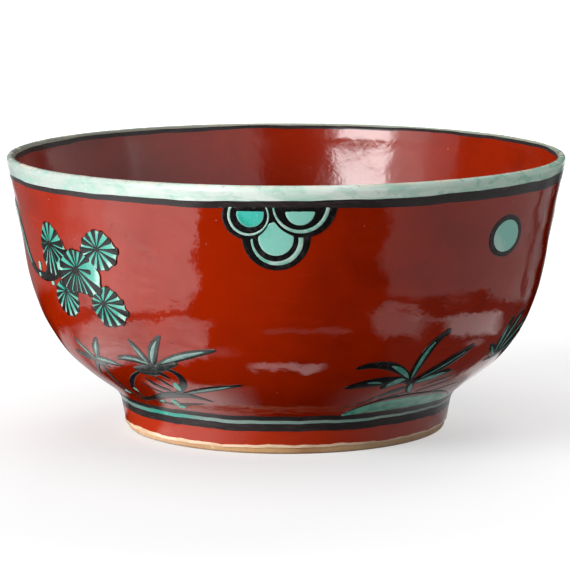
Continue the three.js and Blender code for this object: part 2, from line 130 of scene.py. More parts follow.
def wall_at(height):
    """The place at a height on the straight part of the wall, or in line with it."""
    return Vector((RIM_RADIUS - LIP_SPREAD - (lip_centre.y - height) * slope(WALL_LEAN), height))


def foot_at(height):
    return Vector((foot_top.x - (foot_top.y - height) * slope(FOOT_LEAN), height))


shoulder = wall_at(SHOULDER_HEIGHT)
spread_start = wall_at(lip_centre.y - LIP_SPREAD_HEIGHT)
lip_start = lip_centre + LIP_RADIUS * unit(-LIP_LEAN)
bend_rise = wall_at(0).x - lip_start.x + lip_start.y * slope(LIP_LEAN)
spread_bend = wall_at(bend_rise / (slope(LIP_LEAN) - slope(WALL_LEAN)))
inner_shoulder = shoulder - Vector((SHOULDER_WALL / unit(WALL_LEAN).x, 0))
to_lip = lip_centre - inner_shoulder
inner_lean = math.degrees(math.atan2(to_lip.x, to_lip.y) - math.asin(LIP_RADIUS / to_lip.length))

outside_curves = [
    bow(foot_at(GLAZE_END), foot_top),
    arc(fillet_centre, FOOT_FILLET, 180 - FOOT_LEAN, 180 - WAIST_LEAN),
    bow(
        waist,
        waist + WAIST_REACH * unit(90 - WAIST_LEAN),
        shoulder - BELLY_REACH * unit(90 - WALL_LEAN),
        shoulder,
    ),
    bow(shoulder, spread_start),
    bow(spread_start, spread_bend, lip_start),
    arc(lip_centre, LIP_RADIUS, -LIP_LEAN, 90),
]
inside_curves = [
    arc(lip_centre, LIP_RADIUS, 90, 180 - inner_lean),
    bow(lip_centre + LIP_RADIUS * unit(180 - inner_lean), inner_shoulder),
    bow(
        inner_shoulder,
        inner_shoulder - INNER_BELLY_REACH * unit(90 - inner_lean),
        Vector((FLOOR_REACH, FLOOR_HEIGHT)),
        Vector((0, FLOOR_HEIGHT)),
    ),
]


def walk(curves):
    """Even stations along joined curves, as an array of radius and height."""
    points = [curve(step / CURVE_STEPS) for curve in curves for step in range(CURVE_STEPS)]
    points = np.array([tuple(point) for point in [*points, curves[-1](1)]])
    lengths = np.concatenate([[0], np.cumsum(np.linalg.norm(np.diff(points, axis=0), axis=1))])
    stops = np.linspace(0, lengths[-1], round(lengths[-1] / STATION_GAP) + 1)
    return np.column_stack([np.interp(stops, lengths, points[:, axis]) for axis in (0, 1)])


outside = walk(outside_curves)
inside = walk(inside_curves)


def outer_radius(height):
    return np.interp(height, outside[:, 1], outside[:, 0])


def inner_radius(height):
    return np.interp(height, inside[::-1, 1], inside[::-1, 0])


def square_offs(path):
    """The outward directions of a path that has the clay on its left."""
    ways = np.gradient(path, axis=0)
    turned = np.column_stack([ways[:, 1], -ways[:, 0]])
    return turned / np.linalg.norm(turned, axis=1)[:, None]


def sunk(path, depth):
    moved = path - square_offs(path) * depth
    on_axis = path[:, 0] < 1e-6
    moved[on_axis, 0] = 0
    return moved


def between(path, first, last):
    """The stretch of a path between two heights, in the order of the path."""
    way = 1 if path[-1, 1] > path[0, 1] else -1
    heights = path[:, 1] * way
    kept = path[(heights > first * way + END_GAP) & (heights < last * way - END_GAP)]
    ends = np.array([first, last])
    caps = np.column_stack([np.interp(ends * way, heights, path[:, 0]), ends])
    return np.vstack([caps[:1], kept, caps[1:]])


# How the wall departs from a true round: throwing ripples, and coats laid by a brush. Waves are a
# height in millimetres, a count round the bowl and a turn.

EDGE_WAVES = ((0.1, 9, 1), (0.07, 17, 4), (0.045, 31, 2), (0.03, 57, 0.5))
RAGGED_WAVES = ((0.1, 5, 1), (0.07, 13, 3), (0.05, 31, 4), (0.03, 57, 2), (0.02, 97, 5))
NEAR_FACE = 1.1
INNER_RIPPLE = 0.6
FLARE_TOP = 68
CREST = 71


def bumps(azimuth, waves):
    return sum(size * np.sin(count * azimuth + shift) for size, count, shift in waves)


def ripple(azimuth, height):
    rings = 0.035 * np.sin(height * 0.72 + 1.3 * np.sin(2 * azimuth + 0.6))
    swells = 0.045 * np.sin(19 * azimuth + 0.28 * height + 1.7 * np.sin(0.13 * height))
    swells += 0.03 * np.sin(31 * azimuth - 0.41 * height + 2 * np.sin(3 * azimuth))
    swells += 0.06 * np.sin(7 * azimuth + 0.12 * height + 0.9)
    return (rings + swells) * np.interp(height, [9, 16, 62, 68], [0, 1, 1, 0])


def outer_drift(azimuth, height):
    """How far the edges of the outer coats lie above their true heights."""
    side = np.sin(azimuth)
    tilt = (0.55 * side - 0.25) * np.interp(height, [RIM_LINE_LOW, RIM_BAND_LOW, CREST], [0, 1, 0])
    tilt -= 0.25 * side * np.interp(height, [60, RIM_LINE_LOW, RIM_BAND_LOW], [0, 1, 0])
    tilt += (0.25 * side - 0.12) * np.interp(height, [1, GLAZE_END, FOOT_RED_LOW], [0, 1, 0])
    waver = bumps(azimuth, EDGE_WAVES) * np.interp(
        height,
        [4, LOWER_LINE_LOW, WALL_RED_LOW, 12, 63, RIM_LINE_LOW, RIM_BAND_LOW, 70.4],
        [0, 1, 1, 0, 0, 1, 1, 0],
    )
    foot_edges = [LOWER_LINE_LOW, GREEN_LINE_LOW, UPPER_LINE_LOW, WALL_RED_LOW]
    waver += np.interp(height, foot_edges, [0, 0.1, -0.15, 0]) * (1 + side)
    ragged = bumps(azimuth, RAGGED_WAVES)
    ragged *= np.interp(height, [1.4, GLAZE_END, FOOT_RED_LOW, 4], [0, 1, 1.6, 0])
    return tilt + waver + ragged


def inner_drift(azimuth, height):
    waver = 0.4 + 0.72 * np.sin(azimuth - 0.87) + 1.3 * bumps(azimuth + 1, EDGE_WAVES)
    return waver * np.interp(height, [65, INNER_LINE_LOW, INNER_BAND_LOW, 71.3], [0, 1, 0.5, 0])


def places_of(mesh):
    places = np.zeros(len(mesh.vertices) * 3)
    mesh.vertices.foreach_get("co", places)
    return places.reshape(-1, 3)


def put_round(mesh, azimuth, radius, height):
    """Puts a mesh's places round the bowl's axis, and turns them from millimetres into metres."""
    places = np.column_stack([radius * np.sin(azimuth), -radius * np.cos(azimuth), height])
    mesh.vertices.foreach_set("co", (places * MM).ravel())
    mesh.update()


def settle(mesh):
    """Moves a turned piece's surface along the wall and in and out, as the maker's hand left it."""
    across, depth, height = places_of(mesh).T / MM
    azimuth = np.arctan2(across, -depth)
    radius = np.hypot(across, depth)
    near_outer = radius > outer_radius(height) - NEAR_FACE
    near_inner = ~near_outer & (radius < inner_radius(height) + NEAR_FACE) & (height > FLOOR_HEIGHT - 1)
    moved = height + np.where(near_outer, outer_drift(azimuth, height), 0)
    moved += np.where(near_inner, inner_drift(azimuth, height), 0)
    outer_shift = outer_radius(moved) - outer_radius(height) + ripple(azimuth, moved)
    inner_shift = inner_radius(moved) - inner_radius(height) + INNER_RIPPLE * ripple(azimuth + 1, moved)
    flare = np.clip((moved - FLARE_TOP) / INNER_FLARE_HEIGHT + 1, 0, 1) ** 2
    inner_shift += INNER_FLARE * flare * np.interp(moved, [FLARE_TOP, CREST], [1, 0])
    radius = radius + np.where(near_outer, outer_shift, 0) + np.where(near_inner, inner_shift, 0)
    put_round(mesh, azimuth, radius, moved)


# Modelling

CREASE = 50
TURNED_MERGE = 0.002
DRAWN_MERGE = 0.001
DISC_RINGS = (0.8, 0.75, 0.66, 0.5)
BEDDED = -0.03
LAID_OVER = 0.02


def deselect():
    if bpy.context.mode != "OBJECT":
        bpy.ops.object.mode_set(mode="OBJECT")
    bpy.ops.object.select_all(action="DESELECT")


def open_whole():
    """Opens the piece in hand for editing, with all of it selected."""
    bpy.ops.object.mode_set(mode="EDIT")
    bpy.ops.mesh.select_all(action="SELECT")


def close_turned_out():
    """Turns all faces of the piece in hand outwards and ends its editing."""
    bpy.ops.mesh.select_all(action="SELECT")
    bpy.ops.mesh.normals_make_consistent(inside=False)
    bpy.ops.object.mode_set(mode="OBJECT")


def finish_piece(piece, name, slot, material, *nodes):
    piece.name = name
    piece.data.name = name
    piece.data.materials.clear()
    piece.data.materials.append(material)
    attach(piece, "root")
    if nodes:
        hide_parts(*nodes)


def turned_piece(name, section, slot, material):
    """A coat or the clay: its closed section stands in the XZ plane and is spun round the axis."""
    deselect()
    bpy.ops.mesh.primitive_circle_add(vertices=len(section), radius=1)
    piece = bpy.context.object
    for vertex, (radius, height) in zip(piece.data.vertices, section):
        vertex.co = (radius * MM, 0, height * MM)
    open_whole()
    bpy.ops.mesh.spin(steps=TURNS, angle=2 * math.pi, center=(0, 0, 0), axis=(0, 0, 1))
    bpy.ops.mesh.select_all(action="SELECT")
    bpy.ops.mesh.remove_doubles(threshold=TURNED_MERGE * MM)
    bpy.ops.mesh.delete_loose(use_verts=True, use_edges=True, use_faces=False)
    close_turned_out()
    settle(piece.data)
    bpy.ops.object.shade_smooth_by_angle(angle=math.radians(CREASE))
    finish_piece(piece, name + "_finish", slot, material, name)


# The sheet: a flat picture of the outside wall that keeps every small shape true. Across is the
# azimuth and up is the way up the wall, both stretched alike, and lift is the height off the wall.

SHEET = 60
SHEET_LOW = 8
SHEET_HIGH = 69.5
wall = outside[(outside[:, 1] >= SHEET_LOW) & (outside[:, 1] < SHEET_HIGH)]
wall_steps = np.linalg.norm(np.diff(wall, axis=0), axis=1)
wall_middles = (wall[1:, 0] + wall[:-1, 0]) / 2
wall_up = SHEET * np.concatenate([[0], np.cumsum(wall_steps / wall_middles)])
wall_out = square_offs(wall)


def on_sheet(azimuth, height):
    return Vector((math.radians(azimuth) * SHEET, float(np.interp(height, wall[:, 1], wall_up)), 0))


def off_sheet(spot):
    """The azimuth and height of a spot on the sheet."""
    return math.degrees(spot.x / SHEET), float(np.interp(spot.y, wall_up, wall[:, 1]))


def sheet_scale(height):
    """How much longer a length is on the sheet than on the wall."""
    return SHEET / float(outer_radius(height))


def lay_on_wall(mesh, low, high):
    """Bends a flat piece round the wall. Its upper half becomes its relief and its lower half its back."""
    across, up, body = places_of(mesh).T
    azimuth = across / SHEET
    height = np.interp(up, wall_up, wall[:, 1])
    radius = np.interp(up, wall_up, wall[:, 0]) + ripple(azimuth, height)
    lift = low + (high - low) * np.clip(body / max(body.max(), 1e-6), 0, 1)
    radius += np.interp(up, wall_up, wall_out[:, 0]) * lift
    put_round(mesh, azimuth, radius, height + np.interp(up, wall_up, wall_out[:, 1]) * lift)


def flat_piece():
    """An empty piece open for drawing on the sheet."""
    deselect()
    bpy.ops.mesh.primitive_plane_add(size=1)
    open_whole()
    bpy.ops.mesh.delete(type="VERT")


def keep_selected(mesh, test):
    """Leaves only those selected vertices selected that pass a test of their place."""
    form = bmesh.from_edit_mesh(mesh)
    for vertex in form.verts:
        vertex.select = vertex.select and test(vertex.co)
    form.select_flush(False)
    form.select_flush(True)
    bmesh.update_edit_mesh(mesh)


def stroke(places, widths):
    """A brush stroke through places on the wall: a plane whose front edge is drawn out along the way."""
    piece = bpy.context.object
    points = [on_sheet(*place) for place in places]
    spans = [width * sheet_scale(place[1]) for width, place in zip(widths, places)]
    way = (points[1] - points[0]).normalized()
    heading = math.atan2(way.y, way.x)
    bpy.ops.mesh.select_all(action="DESELECT")
    bpy.ops.mesh.primitive_plane_add(size=spans[0], location=points[0], rotation=(0, 0, heading))
    keep_selected(piece.data, lambda place: (place - points[0]).dot(way) > 0)
    at = points[0] + way * spans[0] / 2
    for index in range(1, len(points)):
        bpy.ops.mesh.extrude_region_move(TRANSFORM_OT_translate={"value": points[index] - at})
        at = points[index]
        way = (points[min(index + 1, len(points) - 1)] - points[index - 1]).normalized()
        turn = math.atan2(way.y, way.x) - heading
        heading += turn
        bpy.ops.transform.rotate(value=-turn, orient_axis="Z", center_override=at)
        growth = spans[index] / spans[index - 1]
        bpy.ops.transform.resize(value=(growth, growth, 1), center_override=at)


def draw_in(centre, shares):
    """Rings of faces inside the selected face, each drawn in towards a centre by a share."""
    for share in shares:
        bpy.ops.mesh.extrude_region_move()
        bpy.ops.transform.resize(value=(share, share, 1), center_override=centre)


def disc(place, half_width, half_height, sides=40, rim=0.5, filled=True):
    """A round or oval field in rings of faces, the first of them along its rim."""
    centre = on_sheet(*place)
    scale = sheet_scale(place[1])
    bpy.ops.mesh.select_all(action="DESELECT")
    bpy.ops.mesh.primitive_circle_add(vertices=sides, radius=1, fill_type="NGON", location=centre)
    bpy.ops.transform.resize(value=(half_width * scale, half_height * scale, 1), center_override=centre)
    bpy.ops.mesh.inset(thickness=rim * scale)
    if filled:
        draw_in(centre, DISC_RINGS)


def trim_above(height):
    """Cuts off what is drawn above a height on the wall."""
    bpy.ops.mesh.select_all(action="SELECT")
    bpy.ops.mesh.bisect(
        plane_co=on_sheet(0, height), plane_no=(0, 1, 0), clear_outer=True, clear_inner=False
    )


def enamel(name, hub, reach, low, high, slot, material, *nodes, thickness=0.5, rounds=2):
    """Gives a flat drawing its body, notes each place's way from the hub, and lays it on the wall."""
    bpy.ops.mesh.select_all(action="SELECT")
    bpy.ops.mesh.remove_doubles(threshold=DRAWN_MERGE)
    close_turned_out()
    piece = bpy.context.object
    body = piece.modifiers.new("body", "SOLIDIFY")
    body.thickness = thickness
    body.offset = 0
    rounding = piece.modifiers.new("rounding", "SUBSURF")
    rounding.levels = rounds
    rounding.render_levels = rounds
    for modifier in ("body", "rounding"):
        bpy.ops.object.modifier_apply(modifier=modifier)
    mesh = piece.data
    paint_map = mesh.uv_layers.new(name="paint")
    corners = np.zeros(len(mesh.loops), dtype=int)
    mesh.loops.foreach_get("vertex_index", corners)
    spots = (places_of(mesh)[:, :2] - np.array(on_sheet(*hub))[:2]) / (reach * sheet_scale(hub[1]))
    paint_map.data.foreach_set("uv", spots[corners].ravel())
    for layer in [layer for layer in mesh.uv_layers if layer.name != "paint"]:
        mesh.uv_layers.remove(layer)
    lay_on_wall(mesh, low, high)
    bpy.ops.object.mode_set(mode="EDIT")
    close_turned_out()
    bpy.ops.object.shade_smooth()
    finish_piece(piece, name, slot, material, *nodes)


# Shader maths


class Wire:
    """A value or a colour on its way through a material. Sums on wires add Math nodes."""

    def __init__(self, finish, socket):
        self.finish = finish
        self.socket = socket

    def maths(self, operation, *values):
        return self.finish.add("Math", {"operation": operation}, dict(enumerate(values)))

    def __add__(self, other):
        return self.maths("ADD", self, other)

    def __sub__(self, other):
        return self.maths("SUBTRACT", self, other)

    def __rsub__(self, other):
        return self.maths("SUBTRACT", other, self)

    def __mul__(self, other):
        return self.maths("MULTIPLY", self, other)

    def __truediv__(self, other):
        return self.maths("DIVIDE", self, other)

    def __rtruediv__(self, other):
        return self.maths("DIVIDE", other, self)

    __radd__ = __add__
    __rmul__ = __mul__

    def between(self, low, high):
        """0 below low, 1 above high and smooth from one to the other."""
        values = {"Value": self, "From Min": low, "From Max": high}
        return self.finish.add("MapRange", {"interpolation_type": "SMOOTHSTEP"}, values)

    def below(self, low, high):
        return 1 - self.between(low, high)

    def within(self, low, high, soft):
        """1 from low to high, and 0 outside them past a soft edge."""
        return self.between(low - soft, low + soft) * self.below(high - soft, high + soft)


class Finish:
    """A material or a world under construction."""

    def __init__(self, name, holder=None):
        self.holder = holder or bpy.data.materials.new(name)
        self.holder.use_nodes = True
        self.tree = self.holder.node_tree
        self.tree.nodes.clear()

    @cached_property
    def place(self):
        """The place on the piece, in metres."""
        return self.add("TexCoord", output="Object")

    def add(self, kind, settings=None, inputs=None, output=0):
        """One node: its type, its settings, the values or wires of its sockets, and the output wanted."""
        node = self.tree.nodes.new("ShaderNode" + kind)
        for key, value in (settings or {}).items():
            setattr(node, key, value)
        for key, value in (inputs or {}).items():
            if isinstance(value, Wire):
                self.tree.links.new(value.socket, node.inputs[key])
            else:
                node.inputs[key].default_value = value
        return Wire(self, node.outputs[output]) if node.outputs else None

    def tint(self, base, *coats):
        """A colour with others laid over it in turn, each by its share from 0 to 1."""
        tone = paint(base)
        for share, colour in coats:
            tone = self.add("Mix", {"data_type": "RGBA"}, {0: share, 6: tone, 7: paint(colour)}, 2)
        return tone

    def stretched(self, along, place=None):
        """The place with each axis counted so many times over."""
        return self.add("Mapping", None, {"Vector": place or self.place, "Scale": along})

    def noise(self, size, detail=3, rough=0.5, place=None, stretch=1, warp=0):
        """Cloudy noise from 0 to 1, its spots of a size in millimetres and flatter by a stretch."""
        inputs = {"Vector": self.stretched((1, 1, stretch), place), "Scale": 1 / (size * MM)}
        inputs |= {"Detail": detail, "Roughness": rough, "Distortion": warp}
        return self.add("TexNoise", None, inputs)

    def specks(self, gap, radius, share):
        """1 in small round spots in a share of cells with a gap between them, and 0 elsewhere."""
        cells = {"Vector": self.place, "Scale": 1 / (gap * MM)}
        distance = self.add("TexVoronoi", None, cells)
        cell_colour = self.add("TexVoronoi", None, cells, "Color")
        chance = self.add("SeparateColor", None, {"Color": cell_colour})
        return distance.below(radius / gap / 2, radius / gap) * chance.between(1 - share, 1.01 - share)

    def axis(self, letter, vector=None):
        """One part of a vector, or of the place on the bowl in millimetres."""
        part = self.add("SeparateXYZ", None, {"Vector": vector or self.place}, letter)
        return part if vector else part / MM

    def length(self, vector):
        return self.add("VectorMath", {"operation": "LENGTH"}, {0: vector}, "Value")

    def paint_way(self):
        """The way to a place of an enamel from its hub, as shares of its reach."""
        return self.add("UVMap", {"uv_map": "paint"})

    def by_ray(self, kind, other, shown):
        """One shader for a kind of ray, and another for the rest."""
        ray = self.add("LightPath", output=kind)
        return self.add("MixShader", None, {0: ray, 1: other, 2: shown})

    def surface(self, tone, rough, relief, specular=0.5):
        """The finished material, with a relief in millimetres."""
        normal = self.add("Bump", None, {"Height": relief, "Distance": MM, "Strength": 1.0}, "Normal")
        inputs = {"Base Color": tone, "Roughness": rough, "Normal": normal, "Specular IOR Level": specular}
        self.add("OutputMaterial", None, {"Surface": self.add("BsdfPrincipled", None, inputs)})
        return self.holder

    def glazed(self, tone, rough, relief=0, swell=0.06, peel=0.028, specular=0.5):
        """The same, with the wavy skin of a thick glaze: slow swells, orange peel and a fine grain."""
        swells = self.noise(12, 2, 0.4, warp=0.5) * swell
        waves = self.noise(4.4, 2, 0.5, warp=0.4) * (swell * 0.75)
        skin = swells + waves + self.noise(1.6, 2, 0.5) * peel
        return self.surface(tone, rough, skin + relief, specular)


def paint(colour):
    """A colour given as it looks, from 0 to 255, for a shader."""
    shares = [value / 255 for value in colour]
    linear = [part / 12.92 if part <= 0.04045 else ((part + 0.055) / 1.055) ** 2.4 for part in shares]
    return *linear, 1


def red_glaze(name, colour, deep, thin, dull=0.05):
    """Coral red: deeper where it pooled, lighter where it ran thin, with pinholes and iron specks."""
    finish = Finish(name)
    streaks = finish.noise(9, 4, 0.6, stretch=3.5)
    pale_specks = finish.specks(5.2, 0.2, 0.45)
    dark_specks = finish.specks(3.8, 0.24, 0.4)
    tone = finish.tint(
        colour,
        (finish.noise(26, 4, 0.55, warp=0.6).between(0.42, 0.72) * 0.55, deep),
        (streaks.between(0.55, 0.8) * 0.3, thin),
        (finish.noise(0.7, 2, 0.6).between(0.55, 0.85) * 0.22, deep),
        (dark_specks * 0.65, (58, 10, 5)),
        (pale_specks * 0.6, (206, 140, 118)),
    )
    rough = dull + streaks * 0.05 + pale_specks * 0.3
    return finish.glazed(tone, rough, (pale_specks + dark_specks) * -0.03, 0.1)


def ring_black():
    """Grey-black ring line, browner and thinner where the brush ran dry."""
    finish = Finish("ring line black")
    strokes = finish.noise(5, 4, 0.65, stretch=7)
    tone = finish.tint(
        (42, 36, 37),
        (strokes.between(0.45, 0.75) * 0.6, (72, 60, 58)),
        (finish.noise(1.1, 3, 0.6).between(0.66, 0.8) * 0.3, (104, 84, 80)),
    )
    return finish.glazed(tone, 0.12 + strokes * 0.2, strokes * 0.02, specular=0.24)


def lip_glaze():
    """Milky green over the lip: brushed along it, greener where it pooled, rubbed pale on the crest. Painted
    shade: greener and deeper on the right, greyer on the left, as the light falls. Greyer on its inner face.
    """
    finish = Finish("lip green glaze")
    mottle = finish.noise(11, 4, 0.6, stretch=5, warp=0.3)
    fine = finish.noise(1.8, 3, 0.6, stretch=2.5)
    blotch = finish.noise(6, 3, 0.6, stretch=1.6, warp=0.4).between(0.51, 0.63)
    across, height = finish.axis("X"), finish.axis("Z")
    # Painted shade by side: the lip is toned greener and deeper on the right, and greyer on the left, to
    # suit how the light falls.
    side = across.between(8, 62)
    crest = height.between(70.75, 71.3)
    worn = crest * finish.noise(9, 4, 0.6).between(0.44, 0.6)
    chips = crest * finish.noise(1.3, 3, 0.6).between(0.62, 0.69)
    girth = finish.length(finish.stretched((1, 1, 0))) / MM
    tone = finish.tint(
        (218, 229, 221),
        (mottle.between(0.4, 0.66), (188, 214, 202)),
        # painted shade: the right side greener and deeper, the left side greyer
        (side * 0.42, (122, 192, 164)),
        (across.below(-60, 2) * 0.7, (146, 156, 152)),
        (blotch * (0.32 + side * 0.3), (108, 178, 153)),
        (fine.between(0.56, 0.76) * 0.35, (222, 230, 220)),
        (worn * 0.6, (214, 200, 180)),
        (chips * 0.7, (150, 110, 82)),
        (girth.below(70.6, 71.3) * 0.85, (134, 134, 120)),
        (height.below(67.6, 69.4) * mottle.between(0.45, 0.6) * 0.5, (140, 196, 178)),
    )
    return finish.glazed(tone, 0.09 + worn * 0.25 + fine * 0.05, chips * -0.03, 0.08, 0.03)


def foot_line_glaze():
    """The green foot line: pale, with stretches where the enamel pooled to a strong turquoise."""
    finish = Finish("foot line green enamel")
    fine = finish.noise(1.8, 3, 0.6)
    across = finish.axis("X")
    tone = finish.tint(
        (132, 158, 149),
        (finish.noise(16, 3, 0.5, stretch=0.4).between(0.5, 0.66) * 0.3, (80, 150, 134)),
        (across.below(-24, -8) * 0.6, (98, 128, 122)),
        (across.between(-40, -31) * across.below(-27, -21), (40, 148, 130)),
        (across.between(20, 40) * 0.5, (112, 128, 116)),
        (fine.between(0.55, 0.75) * 0.25, (180, 196, 188)),
        (finish.noise(2.6, 3, 0.6, stretch=4).between(0.62, 0.74) * 0.5, (74, 92, 86)),
    )
    return finish.glazed(tone, 0.12 + fine * 0.08)


def bare_clay():
    """Fired clay: tan, burnt darker in patches, with grit and iron spots, and darker at its resting edge.
    Paler on the front and right and greyer on the left: painted light and shade.
    """
    finish = Finish("bare biscuit clay")
    grit = finish.noise(0.8, 4, 0.7)
    iron = finish.specks(2.4, 0.22, 0.3)
    across = finish.axis("X")
    tone = finish.tint(
        (194, 154, 110),
        (finish.noise(22, 4, 0.6, stretch=0.6).between(0.4, 0.66) * 0.8, (164, 116, 72)),
        # Painted light and shade by side: paler towards the front and right, greyer on the left.
        (across.between(-4, 40) * 0.6, (208, 180, 152)),
        (across.below(-32, -10) * 0.6, (190, 158, 132)),
        (grit.between(0.5, 0.8) * 0.4, (128, 88, 58)),
        (finish.noise(2.6, 3, 0.6).between(0.6, 0.72) * 0.5, (226, 204, 172)),
        (iron * 0.8, (70, 44, 30)),
        (finish.axis("Z").below(0.05, 0.6) * 0.45, (112, 78, 54)),
    )
    relief = grit * 0.05 + finish.noise(3, 3) * 0.06 - iron * 0.03
    return finish.surface(tone, 0.78 + grit * 0.15, relief, 0.3)


def clear_glaze(name, colour, stained):
    """Clear glaze over white clay, faintly stained, with pinholes."""
    finish = Finish(name)
    stain = finish.noise(9, 4, 0.6).between(0.42, 0.7)
    pins = finish.specks(3.4, 0.2, 0.35)
    tone = finish.tint(colour, (stain * 0.7, stained), (pins * 0.7, (120, 96, 70)))
    return finish.glazed(tone, 0.12 + stain * 0.2, pins * -0.02)


def black_enamel(name, pool, dry_tone, share, specular=0.3):
    """Thick black drawing: nearly black in the pools and grey-brown where the brush ran dry."""
    finish = Finish(name)
    dry = finish.noise(2.4, 4, 0.65, warp=0.4)
    hairs = finish.noise(1.2, 3, 0.65, stretch=3).between(0.6, 0.76)
    tone = finish.tint(pool, (dry.between(0.48, 0.74) * share, dry_tone), (hairs * share * 0.6, dry_tone))
    return finish.glazed(tone, 0.1 + dry * 0.2, dry * 0.02, specular=specular)


def sprig_green():
    """Glassy green enamel: strong where it pooled near the hub, paler outwards and milky at its edge."""
    finish = Finish("sprig turquoise")
    pools = finish.noise(2.6, 3, 0.55, warp=0.6)
    out = finish.length(finish.paint_way()) + (pools - 0.5) * 0.8
    bubbles = finish.specks(1.1, 0.14, 0.4)
    tone = finish.tint(
        (30, 138, 120),
        (out.between(0.15, 0.7), (72, 160, 142)),
        (out.between(0.72, 1.1), (164, 200, 188)),
        (bubbles * 0.4, (214, 230, 222)),
    )
    return finish.glazed(tone, 0.07 + pools * 0.06, bubbles * -0.01)


def pooled_green(name, pale, strong, side, lean_by=0.62):
    """Pale turquoise with one strong pool on a side."""
    finish = Finish(name)
    way = finish.paint_way()
    lean = finish.axis("X", way) * side[0] + finish.axis("Y", way) * side[1]
    spots = finish.noise(2, 3, 0.55, warp=0.5)
    tone = finish.tint(
        pale,
        ((lean * lean_by + (spots - 0.5) * 0.9).between(0.05, 0.85), strong),
        (finish.length(way).between(0.8, 1.02) * 0.35, (186, 216, 204)),
        (finish.noise(0.9, 3, 0.6).between(0.55, 0.75) * 0.25, (180, 216, 204)),
    )
    return finish.glazed(tone, 0.08 + spots * 0.05)


def dull_green(name, pale, strong, dark, hair_share=0.45):
    """Leaf and bank enamel: mottled grey-green with dry black brush hairs showing through."""
    finish = Finish(name)
    mottle = finish.noise(3.2, 4, 0.6, warp=0.5)
    hairs = finish.noise(0.9, 3, 0.7, stretch=3).between(0.58, 0.76)
    tone = finish.tint(pale, (mottle.between(0.38, 0.66), strong), (hairs * hair_share, dark))
    return finish.glazed(tone, 0.1 + mottle * 0.1)


red = red_glaze("coral red glaze", (143, 29, 1), (112, 19, 1), (160, 44, 16))
inner_red = red_glaze("inner coral red glaze", (138, 30, 3), (112, 21, 1), (152, 48, 22), 0.13)
foot_red = red_glaze("foot coral red glaze", (160, 44, 20), (118, 26, 12), (182, 72, 44))
line_black = ring_black()
lip_green = lip_glaze()
foot_green = foot_line_glaze()
clay = bare_clay()
edge_clear = clear_glaze("clear glaze edge", (226, 198, 168), (186, 148, 112))
recess_clear = clear_glaze("recess clear glaze", (228, 230, 224), (206, 202, 188))
black = black_enamel("black enamel", (19, 18, 19), (60, 54, 54), 0.6)
leaf_black = black_enamel("leaf black", (36, 40, 38), (84, 88, 84), 0.7, 0.5)
dry_brush = black_enamel("dry brush grey", (56, 52, 52), (106, 96, 94), 0.9)
turquoise = sprig_green()
pool_green = pooled_green("pine pool turquoise", (72, 162, 142), (32, 144, 124), (-0.5, -0.5))
cloud_left = pooled_green("cloud turquoise strong", (68, 181, 167), (8, 148, 130), (-0.6, -0.9))
cloud_plain = pooled_green("cloud turquoise", (127, 193, 178), (92, 182, 165), (-0.5, 0.6))
moon_green = pooled_green("moon grey-green", (134, 198, 182), (174, 212, 200), (-0.7, -0.7), 0.9)
pale_ring = dull_green("pale ring enamel", (168, 196, 184), (110, 174, 156), (146, 140, 128))
leaf_pale = dull_green("bamboo leaf pale green", (122, 152, 143), (86, 120, 112), (46, 52, 50))
leaf_teal = dull_green("grass leaf teal", (104, 154, 142), (54, 132, 114), (28, 34, 34), 0.6)
bank_green = dull_green("bank green", (98, 178, 155), (64, 152, 130), (60, 100, 90), 0.3)
bough_green = dull_green("bough green", (84, 134, 118), (48, 96, 82), (30, 36, 34))

# The coats

ring_inner = foot_at(0).x - FOOT_RING_WIDTH
recess_corner = Vector((ring_inner, RECESS_DEPTH))
recess_above = recess_corner - Vector((RECESS_CORNER, 0))
recess_beside = recess_corner - Vector((0, RECESS_CORNER))
recess = walk([
    bow(Vector((0, RECESS_DEPTH)), recess_above),
    bow(recess_above, recess_corner, recess_beside),
    bow(recess_beside, Vector((ring_inner, RECESS_GLAZE_EDGE))),
])
lip = np.vstack([
    between(outside, RIM_BAND_LOW, BOWL_HEIGHT),
    between(inside, BOWL_HEIGHT, INNER_BAND_LOW)[1:],
])


def clay_section():
    """The clay: recess, bare foot ring, outside, lip and inside, under the glaze."""
    under = sunk(recess, GLAZE + CLAY_GAP)
    shell = sunk(np.vstack([outside, inside[1:]]), GLAZE + CLAY_GAP)
    inner = under[-1][0]
    outer = shell[0][0] - shell[0][1] * slope(FOOT_LEAN)
    inner_turn = bow(
        Vector((inner, FOOT_INNER_ROUNDING)), Vector((inner, 0)), Vector((inner + FOOT_INNER_ROUNDING, 0))
    )
    outer_turn = bow(
        Vector((outer - FOOT_OUTER_ROUNDING, 0)),
        Vector((outer, 0)),
        Vector((outer + FOOT_OUTER_ROUNDING * slope(FOOT_LEAN), FOOT_OUTER_ROUNDING)),
    )
    foot = [tuple(turn(step / 5)) for turn in (inner_turn, outer_turn) for step in range(6)]
    return [*under, *foot, *shell]


def coat(name, path, slot, material):
    """A coat: its face along a path, and its back a glaze's thickness under it."""
    turned_piece(name, [*path, *sunk(path, GLAZE)[::-1]], slot, material)


